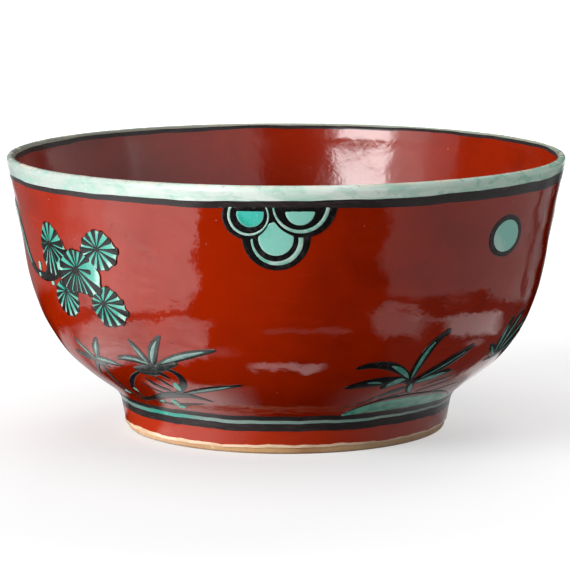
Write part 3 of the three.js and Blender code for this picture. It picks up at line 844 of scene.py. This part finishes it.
turned_piece("porcelain_body", clay_section(), "biscuit_clay", clay)
coat("foot_recess_glaze", recess, "white_glaze", recess_clear)
coat("foot_glaze_edge", between(outside, GLAZE_END, FOOT_RED_LOW), "white_glaze", edge_clear)
coat("foot_red_glaze", between(outside, FOOT_RED_LOW, LOWER_LINE_LOW), "red_glaze", foot_red)
coat("foot_line_lower", between(outside, LOWER_LINE_LOW, GREEN_LINE_LOW), "black_line", line_black)
coat("foot_green_line", between(outside, GREEN_LINE_LOW, UPPER_LINE_LOW), "green_line", foot_green)
coat("foot_line_upper", between(outside, UPPER_LINE_LOW, WALL_RED_LOW), "black_line", line_black)
coat("outer_red_glaze", between(outside, WALL_RED_LOW, RIM_LINE_LOW), "red_glaze", red)
coat("rim_line_outside", between(outside, RIM_LINE_LOW, RIM_BAND_LOW), "black_line", line_black)
coat("rim_band", lip, "green_glaze", lip_green)
coat("rim_line_inside", between(inside, INNER_BAND_LOW, INNER_LINE_LOW), "black_line", line_black)
coat("inner_red_glaze", between(inside, INNER_LINE_LOW, FLOOR_HEIGHT), "inner_red_glaze", inner_red)


# Hanging clouds: three overlapping scallops, each a black field with a pale ring and a bright heart.
# Each is its place, in millimetres across from the cloud's own line and in height, and its radius.
# A ring has its width besides, and how far the hole in it is moved.

CLOUD_FIELDS = {"low": (-2.3, 58.8, 8.4), "left": (-9.6, 64, 5.9), "right": (4.15, 66.8, 8.3)}
CLOUD_RINGS = {
    "low": (-2.1, 58.1, 6.4, 1.0, (-0.4, 0.2)),
    "left": (-9.1, 64.15, 5.15, 0.75, (0.18, 0.1)),
    "right": (3.7, 66.6, 7.05, 0.95, (-0.34, 0.28)),
}
CLOUD_HEARTS = {"low": (-2.4, 58.5, 4.3), "left": (-8.6, 64.6, 3.4), "right": (3.4, 65.4, 3.65)}
CLOUD_LIFTS = {"low": 0.06, "left": 0.18, "right": 0.19}
CLOUD_TOP = 66.3
CLOUD_HEART_TOP = 65.35
LOW_RING_TOP = 61.2


def cloud(side, facing):
    def at(across, height):
        return facing + math.degrees(across / float(outer_radius(height))), height

    hub = at(-2, 62)
    name = f"{side}_cloud_outline"
    flat_piece()
    field("low", at)
    trim_above(CLOUD_TOP)
    enamel(f"{name}_finish", hub, 12, BEDDED, 0.06, "black_enamel", black, name)
    flat_piece()
    field("left", at)
    field("right", at)
    stroke([at(-3.9, 66.8), at(-3.9, 64.4), at(-3.7, 62)], [4, 2.6, 0.9])
    stroke([at(-16, 66.4), at(-4, 66.3), at(13.4, 66.4)], [0.8, 1.3, 0.8])
    trim_above(CLOUD_TOP)
    enamel(f"{name}_upper", hub, 12, LAID_OVER, 0.17, "black_enamel", black)
    for scallop, lift in CLOUD_LIFTS.items():
        across, height, radius, width, shift = CLOUD_RINGS[scallop]
        middle = at(across, height)
        flat_piece()
        crescent(middle, radius, width, shift)
        trim_above(LOW_RING_TOP if scallop == "low" else CLOUD_TOP)
        name = f"{side}_cloud_ring_{scallop}"
        enamel(f"{name}_finish", middle, radius, LAID_OVER, lift + 0.05, "pale_enamel", pale_ring, name)
        across, height, radius = CLOUD_HEARTS[scallop]
        middle = at(across, height)
        flat_piece()
        disc(middle, radius, radius, rim=0.6)
        if scallop != "low":
            trim_above(CLOUD_HEART_TOP)
        name = f"{side}_cloud_fill_{scallop}"
        green = cloud_left if scallop == "left" else cloud_plain
        enamel(f"{name}_finish", middle, radius, LAID_OVER, lift + 0.08, "turquoise_enamel", green, name)


def field(scallop, at):
    across, height, radius = CLOUD_FIELDS[scallop]
    disc(at(across, height), radius, radius, 48, 0.7)


def crescent(place, radius, width, shift):
    """A ring that is wider on one side: a disc inset, with its middle moved and taken out."""
    disc(place, radius, radius, 56, width, filled=False)
    scale = sheet_scale(place[1])
    bpy.ops.transform.translate(value=(shift[0] * scale, shift[1] * scale, 0))
    bpy.ops.mesh.delete(type="FACE")


cloud("front", 0)
cloud("back", 180)

# The moon: a soft oval in a black ring

MOON = (51.5, 55.6)
flat_piece()
disc(MOON, 6.9, 5.5, 48, 0.7)
enamel("moon_ring_finish", MOON, 7, BEDDED, 0.12, "black_enamel", black, "moon_ring")
flat_piece()
disc(MOON, 5.25, 4.2, 48, 0.8)
enamel("moon_disc_finish", MOON, 5, LAID_OVER, 0.2, "moon_enamel", moon_green, "moon_disc")

# Pine: sprigs of black needles over a turquoise pad. A needle is its angle at the hub, its reach and
# its width at the rim, and the pad's reach there where it goes on beyond the needle. A sprig is its
# number, its hub, the layer that it lies on and its needles.

FRONT_SPRIGS = [
    (1, (-58.7, 52.7), 1, [
        (100, 5.6, 2), (73, 5.8, 1.5), (38, 5.8, 2.1), (4, 6.7, 2.7), (-14, 8.7, 2.6), (-33, 8, 2.2),
        (-54, 5.4, 2.6, 8), (-76, 8.6, 2.8), (-95, 9.2, 2.8), (-114, 9.2, 2.8), (-135, 7.2, 2.8),
        (-160, 5.2, 2.7), (174, 4.6, 2.4), (137, 4.2, 2.1),
    ]),
    (2, (-41.8, 53.5), 3, [
        (97, 5, 2.1), (65, 5.2, 1.9), (29, 5.5, 2.1), (-1, 6.9, 2.3), (-29, 6.6, 2.4), (-61, 6, 2.3),
        (-93, 5.8, 1.8), (-121, 5.6, 2), (-148, 6.4, 2.4), (-172, 6.4, 2.6), (163, 5.5, 2.4),
        (134, 4.8, 2.2),
    ]),
    (3, (-55.1, 41), 0, [
        (176, 5, 1.7), (-161, 5.9, 1.6), (-143, 6.9, 1.8), (-126, 7.5, 2), (-107, 7.6, 2.1),
        (-83, 7.2, 2.1), (-56, 6.5, 2), (-31, 5.6, 1.8), (-6, 5.2, 1.7), (27, 4.8, 1.5), (62, 3.7, 1.4),
        (100, 3.2, 1.4), (137, 3.4, 1.4),
    ]),
    (4, (-42.3, 39.7), 2, [
        (-178, 4.3, 1.9), (-152, 5.1, 2), (-125, 5.5, 2.1), (-98, 6.8, 2.6), (-70, 6.8, 2.7),
        (-42, 7.8, 2.5), (-17, 8.2, 2.4), (7, 6.8, 2.1), (31, 5.6, 2), (62, 5, 2.3), (110, 3.9, 2.3),
        (150, 3.7, 1.7),
    ]),
    (5, (-49.1, 47.7), 4, [
        (109, 5.2, 2.1), (83, 4.8, 1.5), (56, 5.3, 1.8), (31, 6.2, 2.2), (-6, 5.5, 1.9, 8.6),
        (-35, 10, 3.2), (-57, 8.2, 2.6), (-76, 6.8, 2), (-95, 6.5, 2), (-112, 7.2, 2.3), (-130, 8.4, 2.9),
        (-147, 9.4, 3), (-163, 9.2, 2.6), (176, 7.3, 2.8), (144, 5.7, 2.5),
    ]),
]
NEEDLE_SHARES = (0.04, 0.3, 0.55, 0.78, 0.93, 1)
NEEDLE_SPREAD = (0.18, 0.28, 0.5, 0.82, 0.95, 0.62)
NEEDLE_FULLNESS = 1.08
NEEDLE_BEND = 5
PAD_MARGIN = 1.04
PAD_PAINT = 0.8
PAD_NOTCHES = (1.0, 0.98, 0.93, 0.98)
PAD_RINGS = (0.94, 0.8, 0.72, 0.6, 0.4)
SPRIG_STEP = 0.07
THINNEST = 0.3


def sprig(name, hub, layer, needles):
    """One sprig: its pad, and then its needles and the knot that they spring from."""
    chance = random.Random(name)
    low = layer * SPRIG_STEP
    needles = sorted((angle % 360, reach, width, *more) for angle, reach, width, *more in needles)
    reach = max(needle[1] for needle in needles)
    flat_piece()
    pad(hub, needles)
    painted = reach * PAD_PAINT
    enamel(f"{name}_finish", hub, painted, low + BEDDED, low + 0.1, "turquoise_enamel", turquoise, name)
    flat_piece()
    for angle, far, width, *_ in needles:
        bent = chance.uniform(-NEEDLE_BEND, NEEDLE_BEND)
        places = [from_hub(hub, angle + bent * (1 - share), far * share) for share in NEEDLE_SHARES]
        stroke(places, [max(width * NEEDLE_FULLNESS * part, THINNEST) for part in NEEDLE_SPREAD])
    disc(hub, 0.75, 0.75, 12, 0.2)
    over = low + LAID_OVER
    enamel(f"{name}_needles", hub, reach, over, low + 0.17, "black_enamel", black, thickness=0.6)


def pad(hub, needles):
    """A pad with a scallop at each needle: a circle whose corners are pulled out and pushed in."""
    centre = on_sheet(*hub)
    scale = sheet_scale(hub[1])
    parts = len(PAD_NOTCHES)
    bpy.ops.mesh.select_all(action="DESELECT")
    bpy.ops.mesh.primitive_circle_add(
        vertices=parts * len(needles), radius=1, fill_type="NGON", location=centre
    )
    form = bmesh.from_edit_mesh(bpy.context.object.data)
    corners = sorted(form.verts, key=lambda corner: math.atan2(*(corner.co - centre).yx) % (2 * math.pi))
    around = [(angle, max([reach, *more[1:]])) for angle, reach, *more in needles]
    around.append((around[0][0] + 360, around[0][1]))
    for index, corner in enumerate(corners):
        (angle, near), (next_angle, next_near) = around[index // parts], around[index // parts + 1]
        part = index % parts
        angle += (next_angle - angle) * part / parts
        near += (next_near - near) * part / parts
        far = near * PAD_MARGIN * PAD_NOTCHES[part] * scale
        corner.co = centre + (unit(angle) * far).to_3d()
    bmesh.update_edit_mesh(bpy.context.object.data)
    bpy.ops.mesh.select_all(action="SELECT")
    draw_in(centre, PAD_RINGS)


def from_hub(hub, angle, far):
    """A place so far from a hub along an angle, in millimetres on the wall."""
    return off_sheet(on_sheet(*hub) + (unit(angle) * far * sheet_scale(hub[1])).to_3d())


def even_needles(count, reach, seed):
    """A round sprig with needles at about even angles."""
    chance = random.Random(seed)
    return [
        (
            360 / count * (index + chance.uniform(-0.22, 0.22)),
            reach * chance.uniform(0.82, 1.12),
            reach * chance.uniform(0.26, 0.42),
        )
        for index in range(count)
    ]


def pine(side, bough_places, bough_widths, twigs, drops, sprigs):
    hub = bough_places[0]
    name = f"{side}_pine_bough"
    flat_piece()
    stroke(bough_places, bough_widths)
    for twig in twigs:
        stroke(*twig)
    enamel(f"{name}_outline", hub, 20, BEDDED, 0.1, "black_enamel", black, rounds=3)
    flat_piece()
    stroke(bough_places[:-1], [max(width * 0.5, THINNEST) for width in bough_widths[:-1]])
    enamel(f"{name}_finish", hub, 20, LAID_OVER, 0.16, "bough_enamel", bough_green, name, rounds=3)
    for index, place, layer, needles in sprigs:
        sprig(f"{side}_pine_sprig_{index}", place, layer, needles)
    flat_piece()
    for place, half_width, half_height in drops:
        disc(place, half_width, half_height, 14, 0.3)
    enamel(f"{side}_pine_pools", hub, 20, 0.1, 0.32, "turquoise_enamel", pool_green)


pine(
    "front",
    [(-89.4, 55), (-86.2, 58), (-82.8, 60.2), (-80, 59.6), (-78.2, 56.4), (-76.2, 52), (-74.4, 47.8),
     (-71.6, 45), (-68.6, 43.8)],
    [2.4, 2.8, 3, 3.4, 4.4, 5, 4.6, 3.8, 2.4],
    [
        ([(-71, 44.4), (-67, 43.2), (-63, 43.2), (-58.6, 44.4), (-54.6, 45.8)], [1.6, 2.6, 2.8, 2.6, 1.2]),
        ([(-63.4, 43.4), (-61.6, 45.6), (-60.2, 48)], [2.4, 2.8, 1.6]),
    ],
    [((-66, 45.8), 0.7, 1.3), ((-67, 43.4), 0.6, 0.6), ((-60.4, 42.2), 0.8, 0.6), ((-55.6, 46.9), 1.3, 1.4)],
    FRONT_SPRIGS,
)
pine(
    "back",
    [(-154, 12.2), (-147, 22.6), (-134, 31.5), (-119, 38.1), (-104, 44.7), (-92, 53.5), (-82, 58)],
    [4.4, 5.4, 5, 4.8, 4, 3.2, 1.4],
    [
        ([(-128, 34.6), (-128.6, 39), (-131, 43)], [3, 2.4, 1.6]),
        ([(-116, 39.6), (-118.4, 45), (-121, 50.6)], [2.4, 1.8, 1.4]),
        ([(-98.6, 48.8), (-101.4, 52), (-104, 54.6)], [2.4, 1.8, 1.4]),
    ],
    [((-112, 44), 1, 1.2), ((-126, 39), 0.9, 1)],
    [
        (1, (-105, 55.8), 0, even_needles(13, 6.2, 3)),
        (2, (-134, 44.7), 1, even_needles(14, 7, 4)),
        (3, (-122, 52.5), 2, even_needles(13, 6.6, 5)),
    ],
)

# Leaves: a black stroke with a narrower green one on it. A leaf is its foot, the place that it
# passes half way, its tip, its width and the share of the width that is green. Where the green ends
# early, its share of the length comes last. A stem is its places and its width at each of them.

LEAF_SHARES = (0, 0.15, 0.35, 0.58, 0.8, 0.94, 1.02)
LEAF_WIDTHS = (0.45, 0.75, 1, 0.98, 0.72, 0.5, 0.2)
LEAF_FULLNESS = 1.15
FILL_SHARES = (0.1, 0.22, 0.4, 0.58, 0.74, 0.86)
FILL_WIDTHS = (0.25, 0.75, 1, 0.95, 0.6, 0.15)
THINNEST_HEART = 0.14
CLUMP_STEP = 0.06


def leaf_line(foot, through, tip):
    """A bent line from a leaf's foot to its tip, by the place that it passes half way."""
    first, middle, last = on_sheet(*foot), on_sheet(*through), on_sheet(*tip)
    bend = bow(first, 2 * middle - (first + last) / 2, last)
    return lambda share: off_sheet(bend(share))


def clump(name, azimuth, side, drawing, fill, knot=0, layer=0, ink=black):
    """Leaves and stems that spring from one knot: their black strokes, and then their green hearts.
    Azimuths are counted from the clump's own, and a side of -1 mirrors it."""

    def place(spot):
        return azimuth + side * spot[0], spot[1]

    leaves, stems = drawing
    ways = [leaf_line(place(foot), place(through), place(tip)) for foot, through, tip, *_ in leaves]
    hub = place(leaves[0][0])
    low = layer * CLUMP_STEP
    flat_piece()
    for way, (_, _, _, width, *_) in zip(ways, leaves):
        spans = [max(width * LEAF_FULLNESS * part, THINNEST) for part in LEAF_WIDTHS]
        stroke([way(share) for share in LEAF_SHARES], spans)
    for places, widths in stems:
        stroke([place(spot) for spot in places], widths)
    if knot:
        disc(hub, knot, knot, 16, 0.3)
    enamel(f"{name}_outline", hub, 10, low + BEDDED, low + 0.1, "black_enamel", ink, thickness=0.4)
    flat_piece()
    for way, (_, _, _, width, heart, *till) in zip(ways, leaves):
        if heart > 0:
            spans = [max(width * heart * part, THINNEST_HEART) for part in FILL_WIDTHS]
            stroke([way(share * (till or [1])[0]) for share in FILL_SHARES], spans)
    over = low + LAID_OVER
    enamel(f"{name}_finish", hub, 10, over, low + 0.15, "leaf_enamel", fill, name, thickness=0.4)


BAMBOO_SPRAY = ([
    ((0, 23.3), (-2.7, 25.4), (-5.2, 28.2), 2.3, 0.42),
    ((0.9, 23.3), (2.8, 26.6), (5.2, 29.7), 2.6, 0.42),
    ((-0.4, 23.6), (4.4, 23.4), (9.6, 22.8), 2.4, 0.36),
    ((0.4, 23.2), (-4.2, 23.4), (-9.6, 24), 2.4, 0),
], [
    ([(0.4, 22.9), (1, 19.1), (0.1, 15.4), (0.6, 12.4), (4.4, 10.9)], [2.6, 2, 1.8, 1.6, 0.5]),
    ([(-0.4, 22.6), (-3.6, 19.6), (-5.6, 17.8)], [2, 1.6, 0.5]),
    ([(-3.4, 23.6), (1, 22.8), (5, 21.4)], [1, 2.6, 1]),
])
BAMBOO_CLUMP = ([
    ((0.2, 23.9), (-1.3, 27.1), (-3.4, 30.7), 2.4, 0.4),
    ((1.2, 24.2), (2.6, 28.2), (5.6, 32.7), 2.9, 0.44),
    ((0.8, 24.2), (-4.4, 25.4), (-10, 24.8), 2.3, 0.4),
    ((2.6, 24.5), (10.2, 27.6), (18.6, 29.8), 2.4, 0.58),
    ((1.4, 24), (5, 24.4), (8.2, 25.6), 2.2, 0),
], [
    ([(-5, 22.6), (-1.7, 23.1), (1.6, 23.4), (4.9, 24.1), (7.4, 25)], [1.8, 3.4, 3.4, 2.4, 1]),
    ([(-4.4, 22), (-1, 21.7), (2.6, 22.2)], [1.6, 2.6, 1.4]),
])
GRASS_CLUMP = ([
    ((-0.6, 19.4), (0, 27.4), (5.2, 33), 2.9, 0.5, 0.88),
    ((0.6, 19.7), (8.3, 23.8), (15.6, 27.8), 3.4, 0.17),
    ((-1, 20.2), (-8.4, 25), (-17, 24.8), 2.7, 0.6, 0.58),
    ((-1, 19.8), (-9.6, 20.5), (-18.4, 19.2), 3.5, 0),
    ((-8.6, 20), (-11, 20.5), (-14, 20.3), 2, 0.4),
    ((-2, 20.5), (-5.2, 20.2), (-8.4, 18.3), 3.1, 0.72),
    ((0.4, 19.1), (5.8, 20.4), (12, 21.4), 3.2, 0.55),
    ((0.2, 19.4), (1, 17.6), (2.4, 15.8), 2.2, 0.64),
], [
    ([(-9, 20.6), (-4, 20.2), (-0.6, 19.6)], [1, 1.8, 2.2]),
    ([(1.5, 20.2), (5, 22), (9, 24), (12.4, 25.8)], [1.4, 2.6, 3.2, 1.2]),
    ([(3.4, 31.6), (4.6, 32.6), (5.7, 33.4)], [1.4, 2.4, 1]),
])
SIDE_SPRAY = ([
    ((-6.6, 23), (-8, 28.4), (-6, 33), 3.8, 0.45, 0.9),
    ((-5.8, 23.4), (-4, 29.4), (0.4, 34), 4.6, 0.36),
    ((-5, 23), (0.4, 27.6), (6.2, 30.6), 4.6, 0.36),
    ((-5, 22.6), (2.4, 23.9), (9.6, 26.6), 3.8, 0.4),
    ((-6, 22.6), (-9.4, 24.4), (-13, 26.8), 2.6, 0.4),
], [
    ([(-10.4, 21.8), (-6, 22.2), (-1.4, 22.4)], [1, 3, 1.2]),
    ([(-4, 24.4), (-1.4, 27.4), (0, 30)], [1.8, 2.4, 1]),
])
LOW_LEAF = ([((0, 16.5), (8.4, 18.5), (17.4, 20.3), 2, 0.5)], [([(12.6, 19.4), (17.2, 20.2)], [1.4, 1.2])])

clump("bamboo_spray", -53.8, 1, BAMBOO_SPRAY, leaf_pale, 1, ink=leaf_black)
clump("bamboo_clump", -34.4, 1, BAMBOO_CLUMP, leaf_pale, 1.3, 1, leaf_black)
clump("grass_clump", 33.6, 1, GRASS_CLUMP, leaf_teal, 1, 2)
clump("side_spray", 70, 1, SIDE_SPRAY, leaf_teal, 1.2)
clump("back_grass_clump", 128, -1, GRASS_CLUMP, leaf_teal, 1, 2)
clump("back_bamboo_clump", 196, -1, BAMBOO_CLUMP, leaf_pale, 1.3, ink=leaf_black)
clump("low_leaf", -28.4, 1, LOW_LEAF, leaf_pale, 0, 1)

# Rocks under the bamboo: looped black outlines with drops of green in them

ROCK_HUB = (-36, 16)
ROCK_STROKES = [
    ([(-38.7, 21.9), (-42.8, 20), (-46.8, 17), (-49, 14.6), (-48.8, 12.8), (-45, 12.3)],
     [1, 1.6, 1.7, 1.5, 1.4, 1.1]),
    ([(-32, 23.6), (-28.7, 23.4), (-26.8, 22.1), (-26.3, 20.1), (-28.3, 17.8), (-31.6, 15.9)],
     [1, 1.5, 2.3, 2.7, 2.4, 1.6]),
    ([(-38, 20.3), (-37.1, 18.7), (-35.3, 17.4), (-32.2, 16.8)], [0.8, 1.5, 1.9, 1.6]),
    ([(-35.8, 21.2), (-33.7, 20.5), (-32.5, 19.2), (-30.7, 17.9)], [0.5, 1, 1.2, 0.9]),
    ([(-33.1, 22.6), (-31.5, 21.7), (-29.9, 20.4)], [1.6, 1.9, 0.8]),
    ([(-41, 18.6), (-39.4, 17.2), (-37.5, 16.2), (-35.5, 15.5)], [0.4, 0.9, 1.3, 1.5]),
    ([(-53.4, 11.9), (-48.4, 12.2), (-42, 13.5), (-36, 15.1), (-31.5, 15.8), (-28, 16), (-24.5, 15.3),
      (-20.5, 14.2)],
     [0.8, 1.6, 2.4, 3.4, 3.6, 3, 1.8, 0.4]),
    ([(-43, 12.4), (-38, 11.9), (-33, 12.4), (-28.4, 13), (-24, 13.4)], [0.6, 1.2, 1.9, 1.2, 0.4]),
]
ROCK_DROPS = [
    ((-29.3, 18.4), 0.9, 1.8), ((-35.4, 12.7), 1.1, 1.9), ((-34.4, 11.6), 1.5, 0.8),
    ((-40.6, 12.6), 0.9, 0.6), ((-47.4, 15.4), 0.5, 1.3), ((-54.8, 13.6), 1, 0.9),
]
flat_piece()
for places, widths in ROCK_STROKES:
    stroke(places, widths)
rock = "rock_outline"
enamel(f"{rock}_finish", ROCK_HUB, 10, BEDDED, 0.1, "black_enamel", black, rock, rounds=3)
flat_piece()
for place, half_width, half_height in ROCK_DROPS:
    disc(place, half_width, half_height, 16, 0.3)
enamel("rock_drops", ROCK_HUB, 10, -0.02, 0.15, "turquoise_enamel", pool_green)

# Grassy banks on the foot lines, with a black crest and dry brush shading over it

BANK_FOOT = 9.9
BANK_FULLNESS = 1.35
BANK_CREST_WIDTHS = (0.4, 0.8, 1.1, 1.2, 1.1, 0.9, 0.7, 0.3)
BANK_CREST = [
    (-15.2, 10.4), (-11, 12.4), (-6, 14.2), (1, 14.8), (8, 14.9), (16, 14.2), (24, 13), (33, 10.6),
]
BANK_BRUSH = [
    ([(-9.6, 15), (-5.4, 16.4), (-2, 17.4), (1.4, 18.2)], [0.6, 2.2, 2.7, 1.2]),
    ([(-6.4, 14.7), (-0.9, 15.7), (2.9, 16.6)], [0.5, 1.7, 0.9]),
    ([(5, 16), (10.7, 17.3), (16.6, 18)], [0.8, 1.5, 0.4]),
    ([(5.4, 17.7), (10.4, 19), (16.2, 19.7)], [0.6, 1.3, 0.4]),
    ([(10, 15), (17, 15.6), (23.6, 16.4)], [0.6, 1.4, 0.4]),
    ([(-17, 12.6), (-12, 13.8), (-8, 14.8)], [0.3, 0.9, 0.4]),
]


def bank(name, azimuth, side):
    def at(away, height):
        return azimuth + side * away, height

    hub = at(10, 11)
    flat_piece()
    stroke(
        [at(away, (height + BANK_FOOT) / 2) for away, height in BANK_CREST],
        [max((height - BANK_FOOT) * BANK_FULLNESS, 0.4) for _, height in BANK_CREST],
    )
    enamel(f"{name}_finish", hub, 20, BEDDED, 0.12, "bank_enamel", bank_green, name, rounds=3)
    flat_piece()
    for places, widths in BANK_BRUSH:
        stroke([at(*place) for place in places], widths)
    enamel(f"{name}_brush", hub, 20, -0.02, 0.09, "black_enamel", dry_brush, rounds=3)
    flat_piece()
    stroke([at(away, height + 0.3) for away, height in BANK_CREST], BANK_CREST_WIDTHS)
    enamel(f"{name}_crest", hub, 20, 0, 0.16, "black_enamel", black, rounds=3)


bank("grass_bank", 33.6, 1)
bank("back_grass_bank", 128, -1)

# The table, the light and the camera

TABLE_SIZE = 6
LIGHTS_AIM = 0.05
WORLD_LIGHT = (0.08, 0.02, 1)


def table_top():
    """A pale table. In the glaze it shows as a dark room with bright windows on the left and right.
    A bearing is in degrees round the bowl from its front, and a reach in millimetres from its axis."""
    finish = Finish("pale table")
    wander = finish.noise(17, 2, 0.5) - 0.5
    ruffle = finish.noise(4.5, 5, 0.66) - 0.5
    bearing = finish.add("Math", {"operation": "ARCTAN2"}, {0: finish.axis("X"), 1: finish.axis("Y") * -1})
    bearing = bearing * (180 / math.pi) + wander * 9 + ruffle * 4
    away = finish.length(finish.place) / MM
    reach = away + wander * 14 + ruffle * 7

    def combed(round_by, out_by, detail, rough):
        """Noise in streaks along the bearings and reaches, where a size of 1 is one unit of these."""
        place = finish.add("CombineXYZ", None, {"X": bearing * round_by, "Y": reach * out_by})
        return finish.noise(1 / MM, detail, rough, place)

    left = (bearing - reach * 0.09).between(-124, -76)
    left = left * (bearing + reach.between(112, 120) * 6).below(-27, -24)
    left = left * (reach - bearing * 0.2).between(75, 81)
    left = left * (0.74 + combed(0.07, 0.3, 5, 0.66).between(0.32, 0.68) * 0.52)
    rise = away - bearing.between(-47, -40) * 16 - 110 + ruffle * 14
    left = left * (1 - rise.within(-8, 7, 3) * 0.9) * (0.76 + rise.between(-4, 4) * 0.12)
    left = left * (1 + away.between(128, 150) * 0.14)
    left = left * (1 - reach.within(92, 132, 8) * bearing.below(-100, -76) * 0.8)
    left = left * (1 - reach.below(92, 102) * bearing.below(-104, -80))
    turning = bearing.between(-168, -140)
    far_left = bearing.below(-92, -80) * reach.between(145, 185) * turning * 0.2
    left_edge = reach.below(90, 102) * bearing.below(-106, -94) * turning * 0.55
    left_foot = reach.below(51, 56) * bearing.between(-62, -54)
    left_foot = left_foot * bearing.below(-34, -8) * 1.3
    rim = bearing - reach * 0.075
    right = bearing.between(33, 38) * rim.below(110, 118)
    right = right * (reach.between(128, 142) * (0.46 - bearing.between(80, 100) * 0.08) + 0.06)
    right = right * (1 - rim.within(99.5, 104.5, 2) * reach.between(138, 150) * 0.75)
    streaks = combed(0.3, 0.012, 3, 0.6).below(0.4, 0.56)
    right = right * (1 - rim.between(94, 100) * streaks * 0.5)
    right_edge = (reach - bearing * 0.55).below(13, 19) * bearing.between(78, 90)
    right_edge = right_edge * bearing.below(140, 160) * (reach.between(53, 61) * 0.6 + 0.35)
    right_foot = reach.below(52, 60) * bearing.between(12, 50) * bearing.below(76, 88) * 0.35
    behind = (bearing.between(148, 162) + 1 - bearing.between(-162, -148)) * reach.between(76, 84) * 1.2
    shine = left * 2.2 + far_left + left_edge + left_foot + right + right_edge + right_foot + behind
    for reaches, bearings, strength in (
        ((65.5, 71, 1.2), (-10, 12, 2.5), 2),
        ((94, 100, 1.5), (-7, 21, 3), 0.35),
        ((76, 84, 3), (-27, -17, 3), 0.5),
        ((90, 122, 3), (30, 48, 3), 0.85),
        ((106, 115, 2), (44, 62, 3), 0.6),
        ((90, 113, 3), (60, 92, 5), 1.35),
        ((79, 85, 1.5), (72, 81, 2), 0.5),
    ):
        shine = shine + reach.within(*reaches) * bearing.within(*bearings) * strength
    shown = finish.add("Emission", None, {"Color": (1, 1, 1, 1), "Strength": shine})
    plain = finish.add("BsdfDiffuse", None, {"Color": paint((176, 176, 176))})
    brightness = away.between(90, 520) * 0.42 + 0.52
    glow = finish.add("Emission", None, {"Color": (1, 1, 1, 1), "Strength": brightness})
    lit = finish.add("AddShader", None, {0: plain, 1: glow})
    seen = finish.by_ray("Is Camera Ray", plain, lit)
    finish.add("OutputMaterial", None, {"Surface": finish.by_ray("Is Glossy Ray", seen, shown)})
    finish.holder.cycles.emission_sampling = "NONE"
    return finish.holder


deselect()
bpy.ops.mesh.primitive_plane_add(size=TABLE_SIZE)
table = bpy.context.object
table.name = "table"
table.data.materials.append(table_top())


def panel(name, azimuth, elevation, distance, width, height, radiance, part):
    """A soft panel that faces the bowl. It gives the light on the bowl, or shows in its gloss."""
    lamp = bpy.data.lights.new(name, "AREA")
    lamp.shape = "RECTANGLE"
    lamp.size = width
    lamp.size_y = height
    lamp.energy = radiance * math.pi * width * height
    thing = bpy.data.objects.new(name, lamp)
    bpy.context.scene.collection.objects.link(thing)
    across, up = math.radians(azimuth), math.radians(elevation)
    way = Vector((math.sin(across) * math.cos(up), -math.cos(across) * math.cos(up), math.sin(up)))
    thing.location = way * distance + Vector((0, 0, LIGHTS_AIM))
    thing.rotation_mode = "QUATERNION"
    thing.rotation_quaternion = way.to_track_quat("Z", "Y")
    thing.visible_diffuse = part == "light"
    thing.visible_glossy = part == "gloss"


panel("gloss_key", -37, 11, 1.1, 0.5, 0.44, 17, "gloss")
panel("gloss_edge", -60, 11, 1.1, 0.34, 0.44, 2, "gloss")
panel("gloss_rim", -78, 11, 1.1, 0.3, 0.44, 0.8, "gloss")
panel("gloss_right", 45, 16, 1.2, 1.46, 0.8, 1.05, "gloss")
panel("gloss_far_right", 104, 12, 1.2, 1.3, 0.8, 0.75, "gloss")
panel("window", -60, 14, 1.2, 0.7, 0.7, 16, "light")
panel("right_bounce", 62, 12, 1.2, 0.8, 0.6, 1.8, "light")
panel("back_window", 165, 30, 1.2, 0.9, 0.7, 5, "light")
panel("ceiling", 0, 90, 1.2, 1, 1, 2.2, "light")

world = bpy.data.worlds.new("studio")
bpy.context.scene.world = world
sky = Finish("studio", world)
dim, dark, white = [
    sky.add("Background", None, {"Color": (1, 1, 1, 1), "Strength": strength}) for strength in WORLD_LIGHT
]
shown_sky = sky.by_ray("Is Camera Ray", sky.by_ray("Is Glossy Ray", dim, dark), white)
sky.add("OutputWorld", None, {"Surface": shown_sky})

CAMERA_PLACE = (0, -852.9, 168.6)
CAMERA_AIM = (0, 0, 36.4)
CAMERA_LENS = 208.8
CAMERA_SHIFT = (-0.0018, 0.0009)
NEAREST_SEEN = 0.05
camera_data = bpy.data.cameras.new("camera")
camera_data.lens = CAMERA_LENS
camera_data.sensor_width = 36
camera_data.shift_x, camera_data.shift_y = CAMERA_SHIFT
camera_data.clip_start = NEAREST_SEEN
camera = bpy.data.objects.new("camera", camera_data)
bpy.context.scene.collection.objects.link(camera)
camera.location = Vector(CAMERA_PLACE) * MM
camera.rotation_mode = "QUATERNION"
camera.rotation_quaternion = (Vector(CAMERA_AIM) - Vector(CAMERA_PLACE)).to_track_quat("-Z", "Y")
bpy.context.scene.camera = camera
bpy.context.scene.view_settings.view_transform = "Standard"
